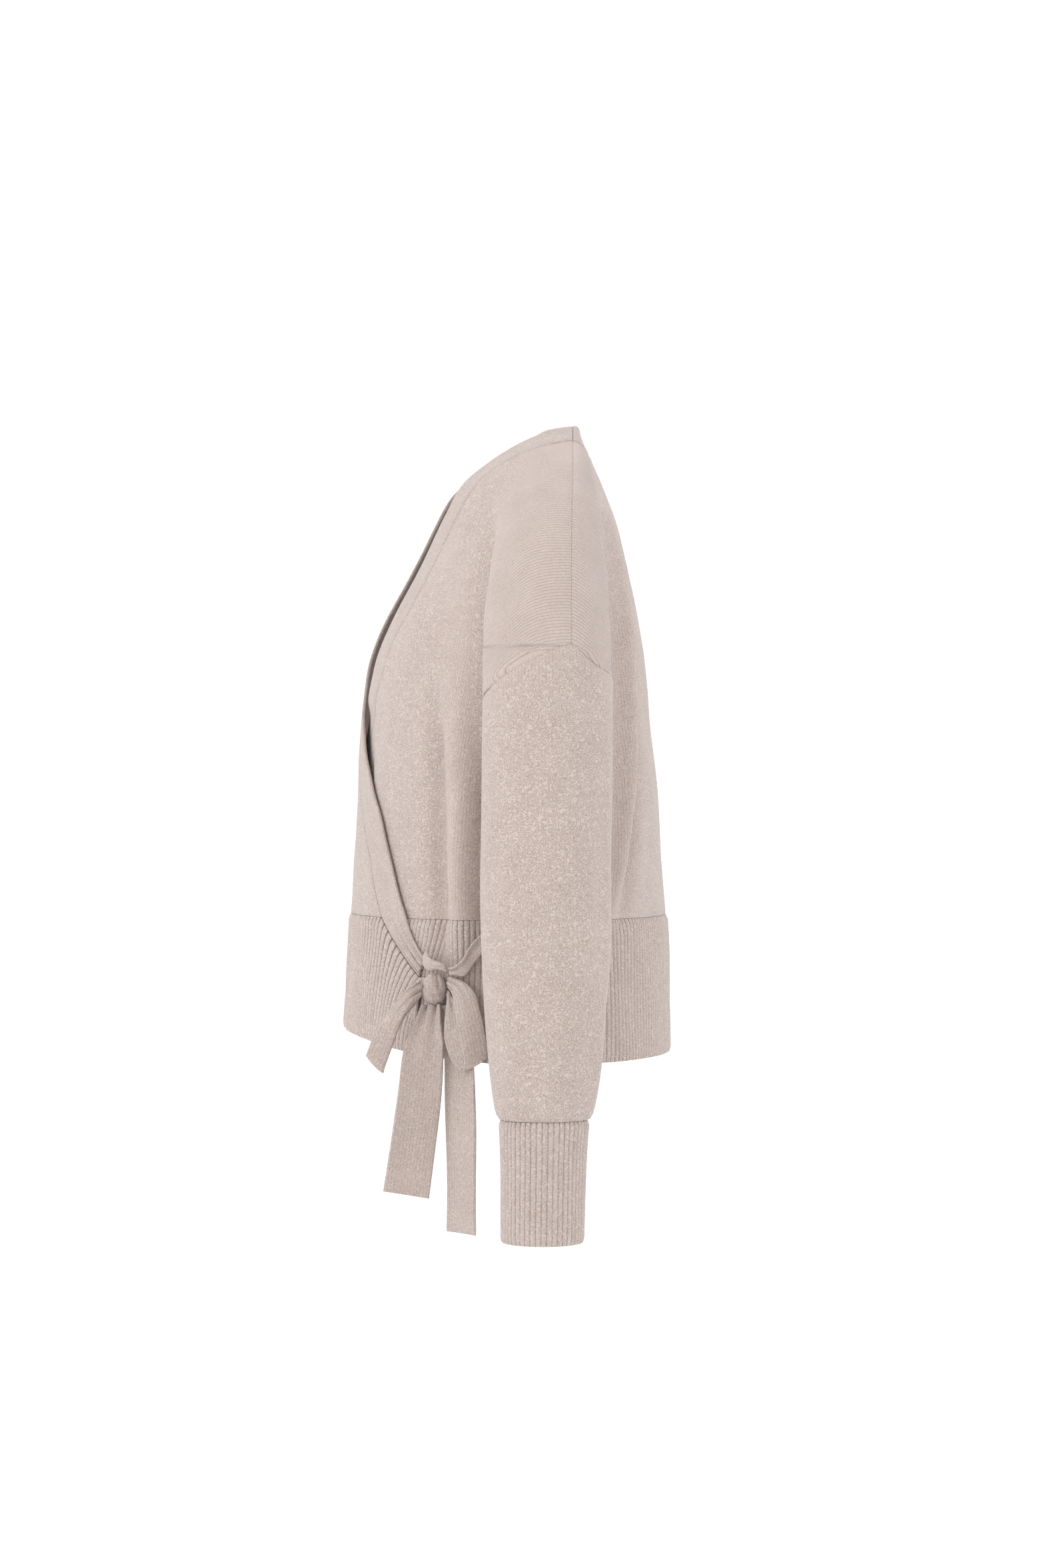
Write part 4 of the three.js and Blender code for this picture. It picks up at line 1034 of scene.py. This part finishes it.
def ribbon(name, thickness):
    rows = np.array(RIBBONS[name], float)
    shape = RIBBON_SHAPE[name]
    keys = np.arange(len(rows))
    length = runs(rows[:, :3])[-1]
    first = shape.get("start", 0)
    last = keys[-1]
    inner_rows = np.linspace(first + 0.2, last - 0.2, int(length / 2))
    place = np.concatenate([
        [first, first + 0.03, first + 0.1], inner_rows, [last - 0.1, last - 0.03, last]])
    centre = KNOT + curve(keys, rows[:, :3], place) @ HIP
    half = curve(keys, rows[:, 3:], place) @ HIP
    forward = np.gradient(centre, axis=0)
    normal = np.cross(forward, half)
    normal /= np.linalg.norm(normal, axis=1, keepdims=True)
    width = 2 * np.linalg.norm(half, axis=1)
    share = spaced(-15, 15, 2, (0.4, 1.2)) / 15
    run = runs(centre)
    near = np.exp(-run / 17)
    if shape["both_ends"]:
        near = near + np.exp(-(run[-1] - run) / 17)
    crease = shape["gathers"] * near[:, None] * np.cos(math.pi * shape["folds"] * (share + 1))[None, :]
    ripple = 0.7 * np.sin(run / 23 + 0.8)[:, None] * share[None, :]
    lift = crease + ripple - shape["curl"] * (share ** 2)[None, :]
    middle = centre[:, None] + half[:, None] * share[None, :, None] + normal[:, None] * lift[..., None]
    flat = np.stack([share[None, :] * width[:, None] / 2, run[:, None] + 0 * share], -1)
    return shell(name, middle, thickness, flat, {"wales": 0.5})


def knot(name):
    """A tight round of cloth, with furrows where one turn passes over the next."""
    across_steps, up_steps = 72, 44
    turn = np.linspace(0, 2 * math.pi, across_steps, endpoint=False)[None, :]
    tilt = np.linspace(0.02, math.pi - 0.02, up_steps)[:, None]
    across = np.sin(tilt) * np.sin(turn)
    out = np.sin(tilt) * np.cos(turn)
    up = np.cos(tilt) + 0 * turn
    smile = up + 0.42 - 0.5 * across ** 2 + 0.22 * across
    slant = across - 0.42 + 0.55 * (up - 0.35) ** 2
    furrows = np.exp(-(smile / 0.1) ** 2) * smooth(1.4 - np.abs(across))
    furrows = furrows + np.exp(-(slant / 0.09) ** 2) * smooth((up + 0.1) * 3)
    swell = 0.05 * np.exp(-((smile + 0.28) / 0.2) ** 2)
    small = 0.025 * np.sin(9 * across + 5 * up) * smooth(out + 0.6)
    size = 1 - 0.12 * furrows * smooth(out * 2 + 0.6) + swell + small
    local = np.stack([across * 10.6 * size, up * 13.4 * size, out * 10.2 * size], -1)
    points = KNOT + local @ HIP
    rows, columns = points.shape[:2]
    i, j = np.meshgrid(np.arange(rows - 1), np.arange(columns), indexing="ij")
    corners = [(i, j), (i, j + 1), (i + 1, j + 1), (i + 1, j)]
    faces = np.stack([(a * columns + b % columns).ravel() for a, b in corners], -1).tolist()
    faces = [face[::-1] for face in faces]
    faces.append(list(range(columns)))
    faces.append([(rows - 1) * columns + k for k in range(columns)][::-1])
    flat = np.stack([turn * 10 + 0 * tilt, tilt * 12 + 0 * turn], -1).reshape(-1, 2)
    flats = np.concatenate([flat[face] for face in faces])
    masks = {"wales": np.full(rows * columns, 0.4)}
    return make_object(name, points.reshape(-1, 3), faces, flats, masks)


# Materials

class Wire:
    """A socket or number in a material, joined by Python's operators through Math nodes."""

    def __init__(self, cloth, socket):
        self.cloth = cloth
        self.socket = socket

    def maths(self, operation, *others):
        return self.cloth.node("ShaderNodeMath", {"operation": operation}, self, *others)

    def __add__(self, other):
        return self.maths("ADD", other)

    __radd__ = __add__

    def __sub__(self, other):
        return self.maths("SUBTRACT", other)

    def __rsub__(self, other):
        return self * -1 + other

    def __mul__(self, other):
        return self.maths("MULTIPLY", other)

    __rmul__ = __mul__

    def __truediv__(self, other):
        return self.maths("DIVIDE", other)

    def __abs__(self):
        return self.maths("ABSOLUTE")

    def sine(self):
        return self.maths("SINE")

    def fraction(self):
        return self.maths("FRACT")

    def between(self, low, high):
        """0 below low, 1 above high, smooth between."""
        settings = {"interpolation_type": "SMOOTHSTEP"}
        return self.cloth.node("ShaderNodeMapRange", settings, self, low, high, 0.0, 1.0)


class Cloth:
    """The node tree of one knitted finish."""

    def __init__(self, name):
        self.material = bpy.data.materials.new(name)
        self.material.use_nodes = True
        self.tree = self.material.node_tree
        self.shader = self.tree.nodes["Principled BSDF"]

    def join(self, value, socket):
        if isinstance(value, Wire):
            self.tree.links.new(value.socket, socket)
        elif value is not None:
            socket.default_value = value

    def node(self, kind, settings, *inputs, output=0, **named):
        """Adds a node: its settings, the values or wires of its sockets in order or by name."""
        made = self.tree.nodes.new(kind)
        for key, value in settings.items():
            setattr(made, key, value)
        for value, socket in zip(inputs, made.inputs):
            self.join(value, socket)
        for key, value in named.items():
            self.join(value, made.inputs[key])
        return Wire(self, made.outputs[output])

    def mask(self, name):
        return self.node("ShaderNodeAttribute", {"attribute_name": name}, output="Fac")

    def knit_place(self):
        """The knit's own coordinates in millimetres: across the columns of stitches, and along them."""
        place = self.node("ShaderNodeUVMap", {"uv_map": "Knit"})
        split = self.tree.nodes.new("ShaderNodeSeparateXYZ")
        self.tree.links.new(place.socket, split.inputs[0])
        return Wire(self, split.outputs[0]), Wire(self, split.outputs[1])

    def noise(self, vector, size, detail=1.0, roughness=0.5, distortion=0.0):
        """Soft noise from 0 to 1 with lumps of this size."""
        return self.node(
            "ShaderNodeTexNoise", {"noise_dimensions": "3D"}, Vector=vector, Scale=1 / size, Detail=detail,
            Roughness=roughness, Distortion=distortion, output=0,
        )

    def mix_colour(self, factor, a, b):
        made = self.tree.nodes.new("ShaderNodeMix")
        made.data_type = "RGBA"
        self.join(factor, made.inputs["Factor"])
        colours = [socket for socket in made.inputs if socket.type == "RGBA"]
        for value, socket in zip((a, b), colours):
            self.join(value, socket)
        return Wire(self, next(socket for socket in made.outputs if socket.type == "RGBA"))


def linear(colour, shade=1.0):
    """Colour as Blender keeps it, from 0 to 255 values as a screen shows it."""
    parts = [min(part * shade, 255) / 255 for part in colour]
    return tuple(p / 12.92 if p <= 0.04045 else ((p + 0.055) / 1.055) ** 2.4 for p in parts) + (1.0,)


# Painted shade deep in the furrows between two ribs: the dark fibres' colour is darkened by this factor
# there
FURROW_PAINTED_SHADE = 0.5


def knit_material(name, yarn, shade, ribbed):
    """Brushed melange wool knit. Columns of stitches show where the wales mask is high; elsewhere
    the brushed yarn lies in short curls. ribbed paints shade into the furrows between the ribs."""
    cloth = Cloth(name)
    across, along = cloth.knit_place()
    wales = cloth.mask("wales")
    surface = cloth.node("ShaderNodeTexCoord", {}, output="Object")
    scaled = cloth.node("ShaderNodeVectorMath", {"operation": "SCALE"}, surface, Scale=1000.0)

    # Curls: contour lines of a soft noise, broken by a finer one
    lumps = cloth.noise(scaled, yarn.curl_size, 1.6, 0.55, 0.35)
    fine = cloth.noise(scaled, 1.5, 2.0, 0.6)
    curls = (lumps * yarn.curl_turns + fine * 1.6).sine()
    # Columns of stitches, each a row of Vs
    wander = (cloth.noise(scaled, 7.0, 1.0) - 0.5) * 1.1
    column = ((across + wander) / yarn.wale_pitch).fraction()
    middle = abs(column * 2 - 1)
    furrow = middle.between(0.62, 1.0)
    stitches = ((along / yarn.course_pitch + middle * 0.75) * (2 * math.pi)).sine()
    columns = stitches * 0.35 - furrow * 1.5 + 0.35
    pattern = curls * (1 - wales) + (columns * 0.9 + curls * 0.25) * wales

    # Melange: short light and dark fibres, and slow cloudy change
    speckle = cloth.noise(scaled, 0.8, 2.5, 0.7)
    cloud = cloth.noise(scaled, 24.0, 2.0)
    tone = pattern * yarn.contrast + (speckle - 0.5) * yarn.melange + (cloud - 0.5) * 0.16 + 0.5
    height = pattern * 0.45 + (fine - 0.5) * 0.6 + (speckle - 0.5) * 0.5
    if ribbed:
        # Painted shade: the tone darkens deep in the rib furrows, and the whole rib is lifted a little
        deep = cloth.mask("furrow").between(0.12, 0.85)
        tone = tone - deep * 0.3 + 0.05
    colour = cloth.mix_colour(
        tone.between(0.0, 1.0), linear(yarn.dark[:], shade), linear(yarn.light[:], shade))
    if ribbed:
        # Painted shade: the furrows are mixed further towards the dark fibres, darkened by the furrow shade
        # factor
        colour = cloth.mix_colour(deep * 0.75, colour, linear(yarn.dark[:], FURROW_PAINTED_SHADE))
    bump = cloth.node(
        "ShaderNodeBump", {}, Strength=yarn.bump, Distance=0.0006, Height=height, output="Normal")
    cloth.join(colour, cloth.shader.inputs["Base Color"])
    cloth.join((speckle - 0.5) * 0.1 + 0.93, cloth.shader.inputs["Roughness"])
    cloth.join(bump, cloth.shader.inputs["Normal"])
    cloth.shader.inputs["Sheen Weight"].default_value = yarn.sheen
    cloth.shader.inputs["Sheen Roughness"].default_value = 0.45
    cloth.shader.inputs["Specular IOR Level"].default_value = 0.18
    return cloth.material


def finish(name):
    """The material of this name, made the first time that it is asked for."""
    settings = {"Stocking knit": (1.0, False), "Rib knit": (0.985, True), "Band knit": (0.985, False)}
    if name not in bpy.data.materials:
        shade, ribbed = settings[name]
        return knit_material(name, bpy.context.scene.cardigan_yarn, shade, ribbed)
    return bpy.data.materials[name]


# Settings that a user would change

class CardiganCloth(bpy.types.PropertyGroup):
    """Sizes of the cloth"""

    panel: bpy.props.FloatProperty(
        name="Panel thickness", description="Thickness of the knitted panels",
        default=2.3 * MM, unit="LENGTH")
    band: bpy.props.FloatProperty(
        name="Band thickness", description="Thickness of the doubled neckband",
        default=3.0 * MM, unit="LENGTH")
    ribbon: bpy.props.FloatProperty(
        name="Tie thickness", description="Thickness of the ties and the bow",
        default=2.6 * MM, unit="LENGTH")
    rib: bpy.props.FloatProperty(
        name="Rib height", description="Height of the ribs of the hem and cuffs",
        default=1.9 * MM, unit="LENGTH")


class CardiganYarn(bpy.types.PropertyGroup):
    """Looks of the yarn"""

    light: bpy.props.FloatVectorProperty(
        name="Light fibres", description="Screen colour of the light fibres, 0 to 255", size=3,
        default=(206, 192, 185))
    dark: bpy.props.FloatVectorProperty(
        name="Dark fibres", description="Screen colour of the dark fibres, 0 to 255", size=3,
        default=(151, 136, 129))
    wale_pitch: bpy.props.FloatProperty(
        name="Column width", description="Width of a column of stitches, in millimetres", default=2.8)
    course_pitch: bpy.props.FloatProperty(
        name="Stitch height", description="Height of a stitch, in millimetres", default=2.2)
    curl_size: bpy.props.FloatProperty(
        name="Curl size", description="Size of the brushed yarn's curls, in millimetres", default=4.6)
    curl_turns: bpy.props.FloatProperty(
        name="Curl turns", description="How closely the curls lie", default=42.0)
    contrast: bpy.props.FloatProperty(
        name="Stitch contrast", description="How much the stitches darken and lighten the yarn",
        default=0.21)
    melange: bpy.props.FloatProperty(
        name="Melange", description="How mixed the light and dark fibres are", default=0.8)
    bump: bpy.props.FloatProperty(
        name="Stitch relief", description="Strength of the stitches' relief", default=0.55)
    sheen: bpy.props.FloatProperty(
        name="Fuzz", description="Soft light on the brushed surface", default=0.25)


class CardiganStage(bpy.types.PropertyGroup):
    """Floor, camera and light"""

    floor_drop: bpy.props.FloatProperty(
        name="Floor below the cuffs", description="Gap between the cuffs and the floor",
        default=0.3, unit="LENGTH")
    floor_radius: bpy.props.FloatProperty(
        name="Floor radius", description="Radius of the round floor", default=6.0, unit="LENGTH")
    key_power: bpy.props.FloatProperty(
        name="Key light", description="Power of the large soft light before the cardigan",
        default=22.0, unit="POWER")
    fill_power: bpy.props.FloatProperty(
        name="Fill light", description="Power of the lights above and behind the cardigan",
        default=3.0, unit="POWER")
    sky: bpy.props.FloatProperty(
        name="Surrounding light", description="Strength of the even white light all round", default=1.28)
    camera_place: bpy.props.FloatVectorProperty(
        name="Camera place", description="Where the camera stands",
        default=(3.5825, -0.3566, -0.3), unit="LENGTH")
    camera_turn: bpy.props.FloatProperty(
        name="Camera turn", description="Turn of the level camera about the upright",
        default=math.radians(85), subtype="ANGLE")
    lens: bpy.props.FloatProperty(
        name="Lens", description="Focal length in millimetres", default=91.8)


# Operators: one for each group of pieces, and one for the stage

SIDES = (("left", 1), ("right", -1))


def thickness(name):
    return getattr(bpy.context.scene.cardigan_cloth, name) / MM


class CardiganOperator(bpy.types.Operator):
    """Shared settings of the cardigan's operators"""

    bl_options = {"REGISTER", "UNDO"}

    def execute(self, context):
        bpy.ops.object.select_all(action="DESELECT")
        self.make()
        return {"FINISHED"}


class CARDIGAN_OT_fronts(CardiganOperator):
    """Makes the two stocking-stitch fronts"""

    bl_idname = "cardigan.fronts"
    bl_label = "Fronts"

    def make(self):
        for side_name, side in SIDES:
            name = f"{side_name}_front"
            piece = front_panel(side, f"{name}_knit", thickness("panel"))
            place_piece(piece, finish("Stocking knit"), [name])


class CARDIGAN_OT_back(CardiganOperator):
    """Makes the back, with its dropped shoulders"""

    bl_idname = "cardigan.back"
    bl_label = "Back"

    def make(self):
        piece = back_panel("back", thickness("panel"))
        piece.name = "back_knit"
        place_piece(piece, finish("Stocking knit"), ["back"])


class CARDIGAN_OT_bands(CardiganOperator):
    """Makes the band round the neck and down both fronts"""

    bl_idname = "cardigan.bands"
    bl_label = "Neckband and front bands"

    def make(self):
        for side_name, side in SIDES:
            name = f"{side_name}_front_band"
            piece = front_band(side, f"{name}_knit", thickness("band"))
            place_piece(piece, finish("Band knit"), [name])
        piece = back_neck_band("back_neck_band_knit", thickness("band"))
        place_piece(piece, finish("Band knit"), ["back_neck_band"])


class CARDIGAN_OT_hems(CardiganOperator):
    """Makes the deep ribs at the foot of the fronts and the back"""

    bl_idname = "cardigan.hems"
    bl_label = "Hem ribs"

    def make(self):
        for side_name, side in SIDES:
            name = f"{side_name}_front_hem_rib"
            piece = front_hem(side, name, thickness("panel"), thickness("rib"))
            piece.name = f"{name}_knit"
            place_piece(piece, finish("Rib knit"), [name])
        piece = back_hem("back_hem_rib_knit", thickness("panel"), thickness("rib"))
        place_piece(piece, finish("Rib knit"), ["back_hem_rib"])


class CARDIGAN_OT_sleeves(CardiganOperator):
    """Makes the sleeves"""

    bl_idname = "cardigan.sleeves"
    bl_label = "Sleeves"

    def make(self):
        for side_name, side in SIDES:
            name = f"{side_name}_sleeve"
            piece = sleeve(side, name, thickness("panel"))
            piece.name = f"{name}_knit"
            place_piece(piece, finish("Stocking knit"), [name])


class CARDIGAN_OT_cuffs(CardiganOperator):
    """Makes the ribbed cuffs"""

    bl_idname = "cardigan.cuffs"
    bl_label = "Cuffs"

    def make(self):
        for side_name, side in SIDES:
            name = f"{side_name}_cuff"
            piece = cuff(side, f"{name}_knit", thickness("panel"), thickness("rib"))
            place_piece(piece, finish("Rib knit"), [name])


class CARDIGAN_OT_bow(CardiganOperator):
    """Makes the ties and the bow at the left hip"""

    bl_idname = "cardigan.bow"
    bl_label = "Bow"

    def make(self):
        for name in RIBBONS:
            piece = ribbon(name, thickness("ribbon"))
            piece.name = f"{name}_knit"
            place_piece(piece, finish("Band knit"), [name])
        piece = knot("bow_knot_knit")
        place_piece(piece, finish("Band knit"), ["bow_knot"])


class CARDIGAN_OT_stage(CardiganOperator):
    """Makes the pale floor, the soft light and the camera"""

    bl_idname = "cardigan.stage"
    bl_label = "Stage"

    def make(self):
        settings = bpy.context.scene.cardigan_stage
        low = CUFF_END * MM - settings.floor_drop
        bpy.ops.mesh.primitive_circle_add(
            vertices=96, radius=settings.floor_radius, fill_type="NGON", location=(0, 0, low))
        floor = bpy.context.object
        floor.name = "floor"
        floor.data.materials.append(floor_material())
        world_light(settings.sky)
        add_light("key_light", (1.5, -3.2, 1.1), (2.0, 2.0), settings.key_power)
        add_light("top_light", (0.6, -0.2, 2.4), (2.4, 2.4), settings.fill_power)
        add_light("back_light", (2.4, 2.4, 1.4), (2.0, 2.0), settings.fill_power)
        data = bpy.data.cameras.new("camera")
        data.lens = settings.lens
        data.sensor_width = 36
        camera = bpy.data.objects.new("camera", data)
        camera.location = settings.camera_place
        camera.rotation_euler = (math.pi / 2, 0, settings.camera_turn)
        bpy.context.scene.collection.objects.link(camera)
        bpy.context.scene.camera = camera


def floor_material():
    cloth = Cloth("Studio floor")
    surface = cloth.node("ShaderNodeTexCoord", {}, output="Object")
    grain = cloth.noise(surface, 0.4, 3.0)
    colour = cloth.mix_colour(grain, (0.93, 0.93, 0.93, 1), (0.97, 0.97, 0.97, 1))
    cloth.join(colour, cloth.shader.inputs["Base Color"])
    cloth.shader.inputs["Roughness"].default_value = 0.9
    cloth.shader.inputs["Specular IOR Level"].default_value = 0.1
    return cloth.material


def world_light(strength):
    world = bpy.data.worlds.new("studio")
    world.use_nodes = True
    background = world.node_tree.nodes["Background"]
    background.inputs["Color"].default_value = (1, 1, 1, 1)
    background.inputs["Strength"].default_value = strength
    bpy.context.scene.world = world
    bpy.context.scene.view_settings.view_transform = "Standard"


def add_light(name, place, size, power):
    data = bpy.data.lights.new(name, "AREA")
    data.shape = "RECTANGLE"
    data.size, data.size_y = size
    data.energy = power
    light = bpy.data.objects.new(name, data)
    light.location = place
    aim = np.array([0, 0, -0.3]) - np.array(place)
    light.rotation_euler = (
        math.atan2(math.hypot(aim[0], aim[1]), -aim[2]), 0, math.atan2(aim[1], aim[0]) - math.pi / 2)
    bpy.context.scene.collection.objects.link(light)


STEPS = ("fronts", "back", "bands", "hems", "sleeves", "cuffs", "bow", "stage")


class CARDIGAN_PT_panel(bpy.types.Panel):
    """Lists the cardigan's pieces and settings"""

    bl_idname = "CARDIGAN_PT_panel"
    bl_label = "Wrap cardigan"
    bl_space_type = "VIEW_3D"
    bl_region_type = "UI"
    bl_category = "Cardigan"

    def draw(self, context):
        for group in ("cardigan_cloth", "cardigan_yarn", "cardigan_stage"):
            settings = getattr(context.scene, group)
            for key in settings.__annotations__:
                self.layout.prop(settings, key)
        for step in STEPS:
            self.layout.operator(f"cardigan.{step}")


CLASSES = (
    CardiganCloth, CardiganYarn, CardiganStage,
    CARDIGAN_OT_fronts, CARDIGAN_OT_back, CARDIGAN_OT_bands, CARDIGAN_OT_hems, CARDIGAN_OT_sleeves,
    CARDIGAN_OT_cuffs, CARDIGAN_OT_bow, CARDIGAN_OT_stage, CARDIGAN_PT_panel,
)


def register():
    for each in CLASSES:
        bpy.utils.register_class(each)
    bpy.types.Scene.cardigan_cloth = bpy.props.PointerProperty(type=CardiganCloth)
    bpy.types.Scene.cardigan_yarn = bpy.props.PointerProperty(type=CardiganYarn)
    bpy.types.Scene.cardigan_stage = bpy.props.PointerProperty(type=CardiganStage)


def unregister():
    del bpy.types.Scene.cardigan_cloth
    del bpy.types.Scene.cardigan_yarn
    del bpy.types.Scene.cardigan_stage
    for each in reversed(CLASSES):
        bpy.utils.unregister_class(each)


def main():
    register()
    for step in STEPS:
        getattr(bpy.ops.cardigan, step)()


if __name__ == "__main__":
    main()
